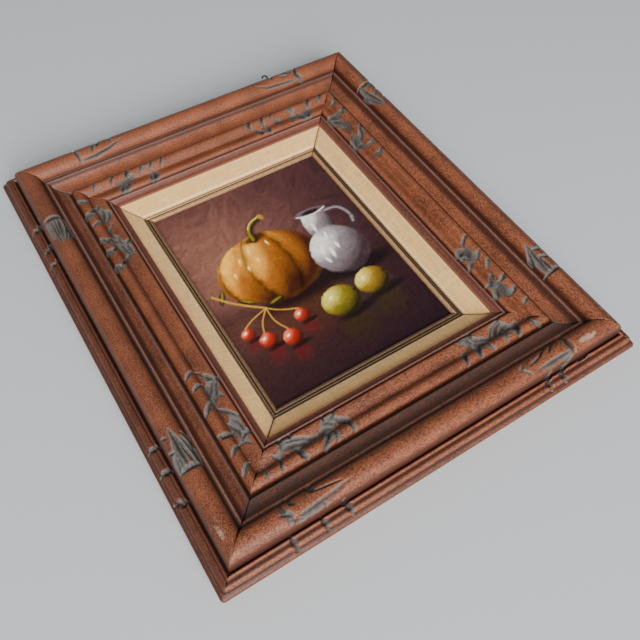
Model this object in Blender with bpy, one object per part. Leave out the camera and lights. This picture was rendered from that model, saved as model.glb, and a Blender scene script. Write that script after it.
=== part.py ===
"""Framed oil painting: a small panel painting in a gilt slip, a linen covered liner and a
wide carved wood moulding, hung on a wall.

Row axes: +X to the right, +Z up, the picture faces -Y and the wall is the plane y = 0.
The origin is on the flat back of the top rail, midway along it. Lengths are in metres.

Every moulding is a section that runs round the picture. Its points are (out, off): the distance
out from the sight edge of the opening, and the height off the wall.
"""

import math
import random

import bmesh
import bpy
from mathutils import Matrix, Vector

# Opening and picture
SIGHT_WIDTH = 0.1905
SIGHT_HEIGHT = 0.2413
PANEL_LAP = 0.00635
PANEL_THICKNESS = 0.0032
PANEL_SET_BACK = 0.0020
JOINT_GAP = 0.0003
WELD_DISTANCE = 0.00001

# Gilt slip round the opening
SLIP_WIDTH = 0.0077
SLIP_FACE_HEIGHT = 0.0017
SLIP_LIP_WIDTH = 0.0030
SLIP_LIP_RISE = 0.0017
SLIP_COVE_DEPTH = 0.0010
SLIP_COVE_WIDTH = 0.0016
SLIP_BEAD_WIDTH = 0.0014
SLIP_BEAD_RISE = 0.0011

# Linen covered liner
LINER_SIGHT_HEIGHT = 0.0079
LINER_FACE_WIDTH = 0.0152
LINER_FACE_RISE = 0.0084
LINER_EDGE_ROUND = 0.0006
LINER_LAP = 0.0055
LINER_CLEARANCE = 0.0004

# Inner members of the carved moulding
LIP_THICKNESS = 0.0021
STEP_WIDTH = 0.0054
STEP_RISE = 0.0031
QUIRK_WIDTH = 0.0010
QUIRK_DEPTH = 0.0007
SMALL_BEAD_WIDTH = 0.0024
SMALL_BEAD_RISE = 0.0012
FACE_SHOULDER_WIDTH = 0.0030
FACE_SHOULDER_RISE = 0.0035
FACE_FALL_WIDTH = 0.0115
FACE_FALL = 0.0054
BEAD_RADIUS = 0.0060
BEAD_LIFT = 0.0022
BEAD_START = math.radians(200.0)
CREVICE_WIDTH = 0.0022
CREVICE_DEPTH = 0.0020

# Outer members of the carved moulding
COVE_FLAT_WIDTH = 0.0022
COVE_WIDTH = 0.0116
COVE_RISE = 0.0086
FILLET_WIDTH = 0.0024
FILLET_RISE = 0.0007
GROOVE_WIDTH = 0.0022
GROOVE_DEPTH = 0.0010
RAIL_RADIUS = 0.0103
RAIL_LIFT = 0.0010
NECK_DROP = 0.0062
NECK_WIDTH = 0.0011
LEDGE_BEAD_RADIUS = 0.0016
LEDGE_GROOVE_DEPTH = 0.0028
WIDE_BEAD_WIDTH = 0.0035
WIDE_BEAD_RISE = 0.0032
WIDE_BEAD_START = math.radians(125.0)
FOOT_COVE_DROP = 0.0034
FOOT_COVE_WIDTH = 0.0016
FOOT_WIDTH = 0.0026
FOOT_SLOPE = 0.0020
FOOT_EDGE_HEIGHT = 0.0146
BACK_UNDERCUT = 0.0043

# Leaf carved on the half round rail near each corner
LEAF_LENGTH = 0.052
LEAF_VEIN_PAIRS = 3
LEAF_VEIN_WIDTH = 0.0054
LEAF_VEIN_DEPTH = 0.0032
LEAF_VEIN_OFFSET = 0.0021
LEAF_VEIN_PITCH = 0.0037
LEAF_VEIN_SHORTER = 0.24
LEAF_VEIN_LEAN = math.radians(3.0)
LEAF_VEIN_SPLAY = math.radians(6.0)
LEAF_STOP_WIDTH = 0.0020
LEAF_STOP_DEPTH = 0.0030
LEAF_TO_CORNER_TOP = 0.080
LEAF_TO_CORNER_RIGHT = 0.086
LEAF_TO_CORNER_BOTTOM = 0.067
LEAF_TO_CORNER_LEFT = 0.090
LEAF_TO_CORNER = {"top": LEAF_TO_CORNER_TOP, "right": LEAF_TO_CORNER_RIGHT,
                  "bottom": LEAF_TO_CORNER_BOTTOM, "left": LEAF_TO_CORNER_LEFT}

# Spray carved on the inner bead and hollow near each corner
SPRAY_START = 0.012
SPRAY_LENGTH_TOP = 0.078
SPRAY_LENGTH_RIGHT = 0.090
SPRAY_LENGTH_BOTTOM = 0.080
SPRAY_LENGTH_LEFT = 0.090
SPRAY_LENGTH = {"top": SPRAY_LENGTH_TOP, "right": SPRAY_LENGTH_RIGHT,
                "bottom": SPRAY_LENGTH_BOTTOM, "left": SPRAY_LENGTH_LEFT}
SCALLOP_LENGTH = 0.0120
SCALLOP_WIDTH = 0.0056
SCALLOP_DEPTH = 0.0036
SCALLOP_TURN = math.radians(62.0)
SCALLOP_SHARES = (0.0, 0.20, 0.38, 0.56, 0.78, 0.98)
HAND_SHIFT = 0.0012
HAND_TURN = math.radians(7.0)

# Leaves and stem of the spray: share of its length, offset out from the hollow, heading in
# degrees off the run of the rail, length, width and depth of the gouge. Offset, length, width
# and depth are shares of a leaf's length
SPRAY_LEAF_LENGTH = 0.020
SPRAY_GOUGES = (
    (0.08, -0.20, 38.0, 0.70, 0.18, 0.11),
    (0.26, -0.35, -20.0, 0.90, 0.25, 0.14),
    (0.28, -0.10, 4.0, 1.15, 0.25, 0.15),
    (0.25, 0.15, 26.0, 0.80, 0.23, 0.14),
    (0.46, -0.15, -34.0, 0.65, 0.16, 0.11),
    (0.56, -0.30, 14.0, 0.70, 0.17, 0.11),
    (0.76, -0.40, -16.0, 0.90, 0.25, 0.14),
    (0.78, -0.10, 6.0, 1.20, 0.25, 0.15),
    (0.74, 0.15, 30.0, 0.80, 0.23, 0.14),
)

# Notches across the outer ledge near each corner
NOTCH_TO_CORNER_NEAR = 0.070
NOTCH_TO_CORNER_NEXT = 0.095
NOTCH_TO_CORNER_FAR = 0.122
NOTCH_TO_CORNER = (NOTCH_TO_CORNER_NEAR, NOTCH_TO_CORNER_NEXT, NOTCH_TO_CORNER_FAR)
NOTCH_LENGTH = 0.0110
NOTCH_WIDTH = 0.0050
NOTCH_DEPTH = 0.0034
NOTCH_TURN = math.radians(76.0)

# Small wire hook in the outer side of the top rail
HOOK_WIRE_RADIUS = 0.00085
HOOK_BEND_RADIUS = 0.0030
HOOK_ALONG = 0.1060
HOOK_STAND_OFF = 0.0055
HOOK_SET_IN = 0.0060
HOOK_BELOW_LEDGE = 0.0015
HOOK_CLEARANCE = 0.00045
HOOK_START = math.radians(-58.0)
HOOK_END = math.radians(172.0)

# Fineness of the curved faces
FINE_STEPS = 4
BEAD_STEPS = 8
RAIL_STEPS = 12
WIRE_RESOLUTION = 2
HOOK_STEPS = 10
HOLE_SIDES = 8
SMOOTH_ANGLE = math.radians(32.0)
CUT_STAND = 0.18

# Heights and widths that follow from the sizes above
PANEL_FRONT = PANEL_SET_BACK + PANEL_THICKNESS
SLIP_BACK = PANEL_FRONT + JOINT_GAP
LINER_START = SLIP_WIDTH + JOINT_GAP
LINER_TOP = PANEL_SET_BACK + LINER_SIGHT_HEIGHT + LINER_EDGE_ROUND + LINER_FACE_RISE
FRAME_START = LINER_START + LINER_FACE_WIDTH + LINER_EDGE_ROUND
LINER_END = FRAME_START + LINER_LAP
LIP_UNDERSIDE = LINER_TOP + LINER_CLEARANCE
LIP_HEIGHT = LIP_UNDERSIDE + LIP_THICKNESS

SIDES = ("top", "right", "bottom", "left")
COLOURS = {
    "wood": ((0.235, 0.085, 0.045, 1.0), 0.42, 0.0),
    "linen": ((0.62, 0.50, 0.36, 1.0), 0.90, 0.0),
    "gilt": ((0.42, 0.29, 0.14, 1.0), 0.45, 0.6),
    "paint": ((0.16, 0.08, 0.08, 1.0), 0.35, 0.0),
    "steel": ((0.03, 0.035, 0.035, 1.0), 0.45, 0.8),
}


def clear_scene():
    for thing in list(bpy.data.objects):
        bpy.data.objects.remove(thing, do_unlink=True)


def new_collection(name):
    collection = bpy.data.collections.new(name)
    bpy.context.scene.collection.children.link(collection)
    return collection


def make_material(name):
    colour, roughness, metallic = COLOURS[name]
    material = bpy.data.materials.new(name)
    material.use_nodes = True
    shader = material.node_tree.nodes["Principled BSDF"]
    shader.inputs["Base Color"].default_value = colour
    shader.inputs["Roughness"].default_value = roughness
    shader.inputs["Metallic"].default_value = metallic
    material.diffuse_color = colour
    return material


def arc(centre, radii, start, end, steps):
    """Points along part of an ellipse, angles measured from the outward direction."""
    points = []
    for step in range(steps + 1):
        angle = start + (end - start) * step / steps
        points.append((centre[0] + radii[0] * math.cos(angle),
                       centre[1] + radii[1] * math.sin(angle)))
    return points


def slip_section():
    """The gilt slip: a rounded lip, a narrow cove and a thin bead."""
    face_top = SLIP_BACK + SLIP_FACE_HEIGHT
    lip_top = face_top + SLIP_LIP_RISE
    cove = lip_top - SLIP_COVE_DEPTH
    points = [(0.0, SLIP_BACK)]
    points += arc((SLIP_LIP_WIDTH, face_top), (SLIP_LIP_WIDTH, SLIP_LIP_RISE),
                  math.pi, math.pi / 2, FINE_STEPS)
    bead_start = SLIP_LIP_WIDTH + SLIP_COVE_WIDTH
    points += [(SLIP_LIP_WIDTH + SLIP_COVE_DEPTH / 2, cove), (bead_start, cove)]
    bead_centre = bead_start + SLIP_BEAD_WIDTH / 2
    points += arc((bead_centre, cove), (SLIP_BEAD_WIDTH / 2, SLIP_BEAD_RISE),
                  math.pi * 3 / 4, 0.0, FINE_STEPS)
    points += [(SLIP_WIDTH, cove), (SLIP_WIDTH, SLIP_BACK)]
    return points


def liner_section():
    """The liner: a face that slopes up and out, and a flat edge under the moulding's lip."""
    sight_top = PANEL_SET_BACK + LINER_SIGHT_HEIGHT
    return [
        (LINER_START, PANEL_SET_BACK),
        (LINER_START, sight_top),
        (LINER_START + LINER_EDGE_ROUND, sight_top + LINER_EDGE_ROUND),
        (LINER_START + LINER_EDGE_ROUND + LINER_FACE_WIDTH, LINER_TOP),
        (LINER_END, LINER_TOP),
        (LINER_END, PANEL_SET_BACK),
    ]


def inner_members():
    """From the lip over the stepped lines, the face and the inner bead, to the crevice."""
    out, off = FRAME_START, LIP_HEIGHT
    rabbet = LINER_END + LINER_CLEARANCE
    points = [(rabbet, 0.0), (rabbet, LIP_UNDERSIDE), (out, LIP_UNDERSIDE)]
    points += arc((out, off + STEP_RISE), (STEP_WIDTH, STEP_RISE), -math.pi / 2,
                  -math.pi / 8, FINE_STEPS)
    out, off = out + STEP_WIDTH, off + STEP_RISE
    points += arc((out + SMALL_BEAD_WIDTH / 2, off), (SMALL_BEAD_WIDTH / 2, SMALL_BEAD_RISE),
                  math.pi, 0.0, FINE_STEPS)
    out += SMALL_BEAD_WIDTH + QUIRK_WIDTH
    points.append((out - QUIRK_WIDTH / 2, off - QUIRK_DEPTH))
    points += arc((out + FACE_SHOULDER_WIDTH, off), (FACE_SHOULDER_WIDTH, FACE_SHOULDER_RISE),
                  math.pi, math.pi / 2, FINE_STEPS)
    out, off = out + FACE_SHOULDER_WIDTH, off + FACE_SHOULDER_RISE
    for step in range(1, BEAD_STEPS):
        turn = math.pi * step / BEAD_STEPS
        points.append((out + FACE_FALL_WIDTH * step / BEAD_STEPS,
                       off - FACE_FALL * (1.0 - math.cos(turn)) / 2))
    out, off = out + FACE_FALL_WIDTH, off - FACE_FALL
    points.append((out, off))
    points += arc((out + BEAD_RADIUS, off + BEAD_LIFT), (BEAD_RADIUS, BEAD_RADIUS),
                  BEAD_START, 0.0, BEAD_STEPS)
    out += BEAD_RADIUS * 2
    points += [(out + CREVICE_WIDTH / 4, off + BEAD_LIFT - CREVICE_DEPTH),
               (out + CREVICE_WIDTH * 3 / 4, off + BEAD_LIFT - CREVICE_DEPTH)]
    return points, out + CREVICE_WIDTH, off + BEAD_LIFT


def outer_members(out, off):
    """From the cove over the fillet and the half round rail, to the stepped ledge and foot."""
    points = [(out, off), (out + COVE_FLAT_WIDTH, off)]
    out += COVE_FLAT_WIDTH
    points += arc((out, off + COVE_RISE), (COVE_WIDTH, COVE_RISE), -math.pi / 2, 0.0,
                  FINE_STEPS + 1)[1:]
    out, off = out + COVE_WIDTH, off + COVE_RISE + FILLET_RISE
    points += [(out + FILLET_RISE / 2, off), (out + FILLET_WIDTH, off)]
    out += FILLET_WIDTH
    points.append((out + GROOVE_WIDTH / 2, off - GROOVE_DEPTH))
    out += GROOVE_WIDTH
    rail_height = off - GROOVE_DEPTH + RAIL_LIFT
    points += arc((out + RAIL_RADIUS, rail_height), (RAIL_RADIUS, RAIL_RADIUS), math.pi, 0.0,
                  RAIL_STEPS)
    out, off = out + RAIL_RADIUS * 2, rail_height - NECK_DROP
    points += arc((out + NECK_WIDTH, off), (NECK_WIDTH, NECK_DROP / 2), math.pi,
                  math.pi * 3 / 2, FINE_STEPS // 2)
    out += NECK_WIDTH
    points += arc((out + LEDGE_BEAD_RADIUS, off - LEDGE_BEAD_RADIUS),
                  (LEDGE_BEAD_RADIUS, LEDGE_BEAD_RADIUS), math.pi * 3 / 4, math.pi / 6,
                  FINE_STEPS)
    out, off = out + LEDGE_BEAD_RADIUS * 2, off - LEDGE_GROOVE_DEPTH
    points.append((out, off))
    wide_top = off + WIDE_BEAD_RISE * (1.0 - math.sin(WIDE_BEAD_START))
    wide_centre = out - WIDE_BEAD_WIDTH * math.cos(WIDE_BEAD_START)
    points += arc((wide_centre, wide_top - WIDE_BEAD_RISE), (WIDE_BEAD_WIDTH, WIDE_BEAD_RISE),
                  WIDE_BEAD_START, 0.0, FINE_STEPS + 1)
    out, off = wide_centre + WIDE_BEAD_WIDTH, wide_top - WIDE_BEAD_RISE - FOOT_COVE_DROP
    points += arc((out + FOOT_COVE_WIDTH, off + FOOT_COVE_DROP),
                  (FOOT_COVE_WIDTH, FOOT_COVE_DROP), math.pi * 7 / 6, math.pi * 3 / 2,
                  FINE_STEPS // 2)
    out += FOOT_COVE_WIDTH
    points += [(out + FOOT_WIDTH, off - FOOT_SLOPE), (out + FOOT_WIDTH, FOOT_EDGE_HEIGHT),
               (out + FOOT_WIDTH - BACK_UNDERCUT, 0.0)]
    return points


def frame_section():
    inner, out, off = inner_members()
    return inner + outer_members(out, off)


def height_at(section, out):
    """The highest point of a section at a distance out from the sight edge."""
    best = 0.0
    for (out_a, off_a), (out_b, off_b) in zip(section, section[1:]):
        if min(out_a, out_b) <= out <= max(out_a, out_b) and out_a != out_b:
            share = (out - out_a) / (out_b - out_a)
            best = max(best, off_a + (off_b - off_a) * share)
    return best


FRAME_SECTION = frame_section()
FRAME_END = max(out for out, off in FRAME_SECTION)
BACK_START = LINER_END + LINER_CLEARANCE
BACK_END = FRAME_END - BACK_UNDERCUT
MOUNT_OUT = (BACK_START + BACK_END) / 2
PICTURE_CENTRE = Vector((0.0, 0.0, -(SIGHT_HEIGHT / 2 + MOUNT_OUT)))
HOLLOW_OUT = (FRAME_START + STEP_WIDTH + SMALL_BEAD_WIDTH + QUIRK_WIDTH
              + FACE_SHOULDER_WIDTH + FACE_FALL_WIDTH)
BEAD_OUT = HOLLOW_OUT + BEAD_RADIUS
RAIL_OUT = (BEAD_OUT + BEAD_RADIUS + CREVICE_WIDTH + COVE_FLAT_WIDTH + COVE_WIDTH
            + FILLET_WIDTH + GROOVE_WIDTH + RAIL_RADIUS)
LEDGE_OUT = RAIL_OUT + RAIL_RADIUS + NECK_WIDTH + LEDGE_BEAD_RADIUS * 2
RAIL_HEIGHT = (LIP_HEIGHT + STEP_RISE + FACE_SHOULDER_RISE - FACE_FALL + BEAD_LIFT + COVE_RISE
               + FILLET_RISE - GROOVE_DEPTH + RAIL_LIFT)
HOOK_HEIGHT = RAIL_HEIGHT - NECK_DROP - LEDGE_GROOVE_DEPTH - HOOK_BELOW_LEDGE


def half_run(side):
    """Half the opening's length along a side."""
    return (SIGHT_WIDTH if side in ("top", "bottom") else SIGHT_HEIGHT) / 2


def half_span(side):
    """Distance from the picture's centre to the sight edge of a side."""
    return (SIGHT_HEIGHT if side in ("top", "bottom") else SIGHT_WIDTH) / 2


def side_matrix(side):
    """Turns the top side about the picture's centre to the given side."""
    turn = Matrix.Rotation(math.pi / 2 * SIDES.index(side), 4, "Y")
    return Matrix.Translation(PICTURE_CENTRE) @ turn


def moulding(name, section, side, material, collection):
    """One mitred length of a moulding, made from its filled section."""
    curve = bpy.data.curves.new(name, "CURVE")
    curve.dimensions = "2D"
    curve.fill_mode = "BOTH"
    curve.extrude = half_run(side)
    spline = curve.splines.new("POLY")
    spline.points.add(len(section) - 1)
    for point, (out, off) in zip(spline.points, section):
        point.co = (out, off, 0.0, 1.0)
    spline.use_cyclic_u = True
    outline = bpy.data.objects.new(name + "_outline", curve)
    collection.objects.link(outline)
    bpy.context.view_layer.update()
    evaluated = outline.evaluated_get(bpy.context.evaluated_depsgraph_get())
    mesh = bpy.data.meshes.new_from_object(evaluated)
    bpy.data.objects.remove(outline, do_unlink=True)
    shape = bmesh.new()
    shape.from_mesh(mesh)
    bmesh.ops.remove_doubles(shape, verts=shape.verts, dist=WELD_DISTANCE)
    mitre_gap = JOINT_GAP / 2 * math.sqrt(2.0)
    for vert in shape.verts:
        out, off, along = vert.co
        reach = half_run(side) + out - mitre_gap
        vert.co = (math.copysign(reach, along), -off, half_span(side) + out)
    bmesh.ops.recalc_face_normals(shape, faces=shape.faces)
    shape.to_mesh(mesh)
    shape.free()
    mesh.name = name
    mesh.materials.clear()
    mesh.materials.append(material)
    mesh.shade_smooth()
    mesh.set_sharp_from_angle(angle=SMOOTH_ANGLE)
    rail = bpy.data.objects.new(name, mesh)
    rail.matrix_world = side_matrix(side)
    collection.objects.link(rail)
    return rail


def place_cutter(name, shape, side, along, out, off, heading, tilt, cutters):
    """Puts a cutter on a side: along the rail, out from the sight edge, off the wall."""
    mesh = bpy.data.meshes.new(name)
    shape.to_mesh(mesh)
    shape.free()
    cutter = bpy.data.objects.new(name, mesh)
    spot = Matrix.Translation((along, -off, half_span(side) + out))
    aim = Matrix.Rotation(-heading, 4, "Y") @ Matrix.Rotation(tilt, 4, "X")
    cutter.matrix_world = side_matrix(side) @ spot @ aim
    cutter.hide_render = True
    cutter.display_type = "WIRE"
    cutters.objects.link(cutter)


def gouge(name, side, along, out, heading, length, width, depth, cutters):
    """A cut with a V bottom and pointed ends, square to the surface that it is cut in."""
    shape = bmesh.new()
    size = Matrix.Diagonal((length / 2, depth, width / 2, 1.0))
    upright = Matrix.Rotation(math.pi / 2, 4, "X")
    bmesh.ops.create_uvsphere(shape, u_segments=4, v_segments=2, radius=1.0,
                              matrix=size @ upright)
    reach = width / 2
    rise = height_at(FRAME_SECTION, out + reach) - height_at(FRAME_SECTION, out - reach)
    tilt = -math.atan2(rise, width) * math.cos(heading)
    off = height_at(FRAME_SECTION, out) + depth * CUT_STAND
    place_cutter(name, shape, side, along, out, off, heading, tilt, cutters)


def leaf_cuts(side, end, cutters):
    """A leaf on the half round rail: a straight stop across it, and veins that run together."""
    corner = half_run(side) + FRAME_END
    start = corner - LEAF_TO_CORNER[side]
    name = f"leaf_{side}_{'far' if end > 0 else 'near'}"
    crest = height_at(FRAME_SECTION, RAIL_OUT)
    stop = bmesh.new()
    block = Matrix.Diagonal((LEAF_STOP_WIDTH, LEAF_STOP_DEPTH * 2, RAIL_RADIUS * 2, 1.0))
    bmesh.ops.create_cube(stop, size=1.0, matrix=block)
    place_cutter(name + "_stop", stop, side, end * start, RAIL_OUT, crest, 0.0, 0.0, cutters)
    for rank in range(LEAF_VEIN_PAIRS):
        length = LEAF_LENGTH * (1.0 - LEAF_VEIN_SHORTER * rank)
        spread = LEAF_VEIN_OFFSET + LEAF_VEIN_PITCH * rank
        lean = LEAF_VEIN_LEAN + LEAF_VEIN_SPLAY * rank
        for hand in (-1, 1):
            gouge(f"{name}_vein_{rank}_{'out' if hand > 0 else 'in'}", side,
                  end * (start - length / 2), RAIL_OUT + hand * spread,
                  end * hand * lean, length, LEAF_VEIN_WIDTH, LEAF_VEIN_DEPTH, cutters)


def spray_cuts(side, end, hand, cutters):
    """A winding spray in the hollow, with scallops over the bead beside it."""
    corner = half_run(side) + BEAD_OUT
    length = SPRAY_LENGTH[side]
    name = f"spray_{side}_{'far' if end > 0 else 'near'}"
    for rank, (share, offset, turn, size, width, depth) in enumerate(SPRAY_GOUGES):
        along = corner - SPRAY_START - length * share + hand.uniform(-HAND_SHIFT, HAND_SHIFT)
        heading = math.radians(turn) + hand.uniform(-HAND_TURN, HAND_TURN)
        gouge(f"{name}_gouge_{rank}", side, end * along, HOLLOW_OUT + offset * SPRAY_LEAF_LENGTH,
              -end * heading, size * SPRAY_LEAF_LENGTH, width * SPRAY_LEAF_LENGTH,
              depth * SPRAY_LEAF_LENGTH, cutters)
    for rank, share in enumerate(SCALLOP_SHARES):
        along = corner - SPRAY_START - length * share + hand.uniform(-HAND_SHIFT, HAND_SHIFT)
        turn = SCALLOP_TURN + hand.uniform(-HAND_TURN, HAND_TURN)
        gouge(f"{name}_scallop_{rank}", side, end * along, BEAD_OUT + BEAD_RADIUS / 4,
              -end * turn, SCALLOP_LENGTH, SCALLOP_WIDTH, SCALLOP_DEPTH, cutters)


def notch_cuts(side, end, cutters):
    """Notches across the two beads of the outer ledge."""
    corner = half_run(side) + FRAME_END
    for rank, distance in enumerate(NOTCH_TO_CORNER):
        gouge(f"notch_{side}_{'far' if end > 0 else 'near'}_{rank}", side,
              end * (corner - distance), LEDGE_OUT, -end * NOTCH_TURN, NOTCH_LENGTH,
              NOTCH_WIDTH, NOTCH_DEPTH, cutters)


def carve(rail, side, cutters):
    """Cuts the carving, and the hook's hole in the top rail, with one Boolean."""
    hand = random.Random(SIDES.index(side))
    for end in (-1, 1):
        leaf_cuts(side, end, cutters)
        spray_cuts(side, end, hand, cutters)
        notch_cuts(side, end, cutters)
    if side == "top":
        hole = bmesh.new()
        reach = HOOK_SET_IN + FRAME_END - LEDGE_OUT + JOINT_GAP
        bmesh.ops.create_cone(hole, cap_ends=True, segments=HOLE_SIDES, depth=reach * 2,
                              radius1=HOOK_WIRE_RADIUS + HOOK_CLEARANCE,
                              radius2=HOOK_WIRE_RADIUS + HOOK_CLEARANCE)
        place_cutter("hook_hole", hole, side, hook_shank_along(), FRAME_END, HOOK_HEIGHT, 0.0,
                     0.0, cutters)
    cut = rail.modifiers.new("carving", "BOOLEAN")
    cut.operation = "DIFFERENCE"
    cut.operand_type = "COLLECTION"
    cut.collection = cutters
    cut.solver = "EXACT"


def hook_shank_along():
    return HOOK_ALONG + HOOK_BEND_RADIUS * math.cos(HOOK_START)


def make_panel(material, collection):
    """The painted panel, lapped all round by the slip."""
    width = SIGHT_WIDTH + PANEL_LAP * 2
    height = SIGHT_HEIGHT + PANEL_LAP * 2
    bpy.ops.mesh.primitive_cube_add(size=1.0)
    panel = bpy.context.object
    panel.name = "painted_panel"
    panel.data.transform(Matrix.Diagonal((width, PANEL_THICKNESS, height, 1.0)))
    middle = Vector((0.0, -(PANEL_SET_BACK + PANEL_THICKNESS / 2), 0.0))
    panel.location = PICTURE_CENTRE + middle
    panel.data.materials.append(material)
    for owner in list(panel.users_collection):
        owner.objects.unlink(panel)
    collection.objects.link(panel)


def make_hook(material, collection):
    """The wire hook: a shank in the top rail and a bend to one side."""
    rest = half_span("top") + FRAME_END
    centre_out = rest + HOOK_STAND_OFF
    foot_out = half_span("top") + LEDGE_OUT - HOOK_SET_IN
    route = [(hook_shank_along(), foot_out)]
    route += arc((HOOK_ALONG, centre_out), (HOOK_BEND_RADIUS, HOOK_BEND_RADIUS), HOOK_START,
                 HOOK_END, HOOK_STEPS)
    curve = bpy.data.curves.new("hanging_hook", "CURVE")
    curve.dimensions = "3D"
    curve.bevel_depth = HOOK_WIRE_RADIUS
    curve.bevel_resolution = WIRE_RESOLUTION
    curve.use_fill_caps = True
    spline = curve.splines.new("POLY")
    spline.points.add(len(route) - 1)
    for point, (along, out) in zip(spline.points, route):
        point.co = (along, -HOOK_HEIGHT, out, 1.0)
    curve.materials.append(material)
    hook = bpy.data.objects.new("hanging_hook", curve)
    hook.location = PICTURE_CENTRE
    collection.objects.link(hook)


def main():
    clear_scene()
    painting = new_collection("framed_oil_painting")
    materials = {name: make_material(name) for name in COLOURS}
    for side in SIDES:
        rail = moulding(f"frame_rail_{side}", FRAME_SECTION, side, materials["wood"], painting)
        carve(rail, side, new_collection(f"cutters_{side}"))
        moulding(f"liner_rail_{side}", liner_section(), side, materials["linen"], painting)
        moulding(f"gilt_slip_{side}", slip_section(), side, materials["gilt"], painting)
    make_panel(materials["paint"], painting)
    make_hook(materials["steel"], painting)


main()
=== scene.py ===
"""Framed oil painting: the finish of a small still life panel in a gilt slip, a linen liner
and a wide carved wood frame.

Run as a script, or from Blender's text editor. It fits every piece round the frame's own solids.
The picture faces -Y, +Z is up and the wall is the plane y = 0. Lengths are in metres.

Places on a moulding are (s, out, off): s is the distance from the mitre along the rail, out the
distance out from the opening's sight edge and off the height off the wall.
"""

import math

import bpy
import numpy as np
from bpy.props import FloatProperty, FloatVectorProperty, PointerProperty
from mathutils import Matrix, Vector


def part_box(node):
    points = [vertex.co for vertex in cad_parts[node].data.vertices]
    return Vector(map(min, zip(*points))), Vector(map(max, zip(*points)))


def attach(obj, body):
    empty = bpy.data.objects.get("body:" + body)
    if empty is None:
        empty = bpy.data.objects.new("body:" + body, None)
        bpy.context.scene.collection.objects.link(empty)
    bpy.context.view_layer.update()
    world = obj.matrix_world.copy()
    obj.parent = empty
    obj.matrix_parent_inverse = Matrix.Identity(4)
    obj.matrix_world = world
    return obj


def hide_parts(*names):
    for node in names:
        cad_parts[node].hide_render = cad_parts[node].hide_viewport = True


bl_info = {
    "name": "Framed oil painting",
    "version": (1, 0, 0),
    "blender": (4, 5, 0),
    "location": "3D View > Sidebar > Painting",
    "description": "Makes the carved frame, linen liner, gilt slip and still life panel",
    "category": "Object",
}

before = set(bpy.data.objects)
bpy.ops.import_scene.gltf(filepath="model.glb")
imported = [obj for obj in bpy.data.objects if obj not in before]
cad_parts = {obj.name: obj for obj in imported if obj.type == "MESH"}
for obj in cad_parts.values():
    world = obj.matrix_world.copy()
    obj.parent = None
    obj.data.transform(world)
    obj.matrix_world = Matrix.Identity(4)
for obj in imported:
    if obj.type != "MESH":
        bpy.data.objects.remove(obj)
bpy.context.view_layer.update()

SIDES = ("top", "right", "bottom", "left")
MM = 0.001
PANEL_LOW, PANEL_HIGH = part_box("painted_panel")
CENTRE = Vector(((PANEL_LOW.x + PANEL_HIGH.x) / 2, 0.0, (PANEL_LOW.z + PANEL_HIGH.z) / 2))
SIGHT_X = -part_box("gilt_slip_left")[1].x
SIGHT_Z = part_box("gilt_slip_top")[0].z - CENTRE.z

# How far each mitred end stands back from its neighbour
MITRE_GAP = 0.00021
SHARP_ANGLE = math.radians(50.0)
# Steps of the meshes: round the section and along the length of the linen and of the slip,
# over the panel, across a rail's back, and stations along a rail's plain middle
LINEN_STEPS = (0.0008, 0.0024)
SLIP_STEPS = (0.0004, 0.0030)
PANEL_STEP = 0.00075
BACK_STEP = 0.012
MIDDLE_STATIONS = 12
# The first random seed of the gouging hand, and of each kind of length
HAND_SEED, RAIL_SEED, LINEN_SEED, SLIP_SEED = 11, 40, 60, 80


def length(name, default, text):
    return FloatProperty(name=name, default=default, description=text, unit="LENGTH",
                         precision=5)


def colour(name, default, text):
    return FloatVectorProperty(name=name, default=default, description=text, subtype="COLOR",
                               size=3, min=0.0, max=1.0)


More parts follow.
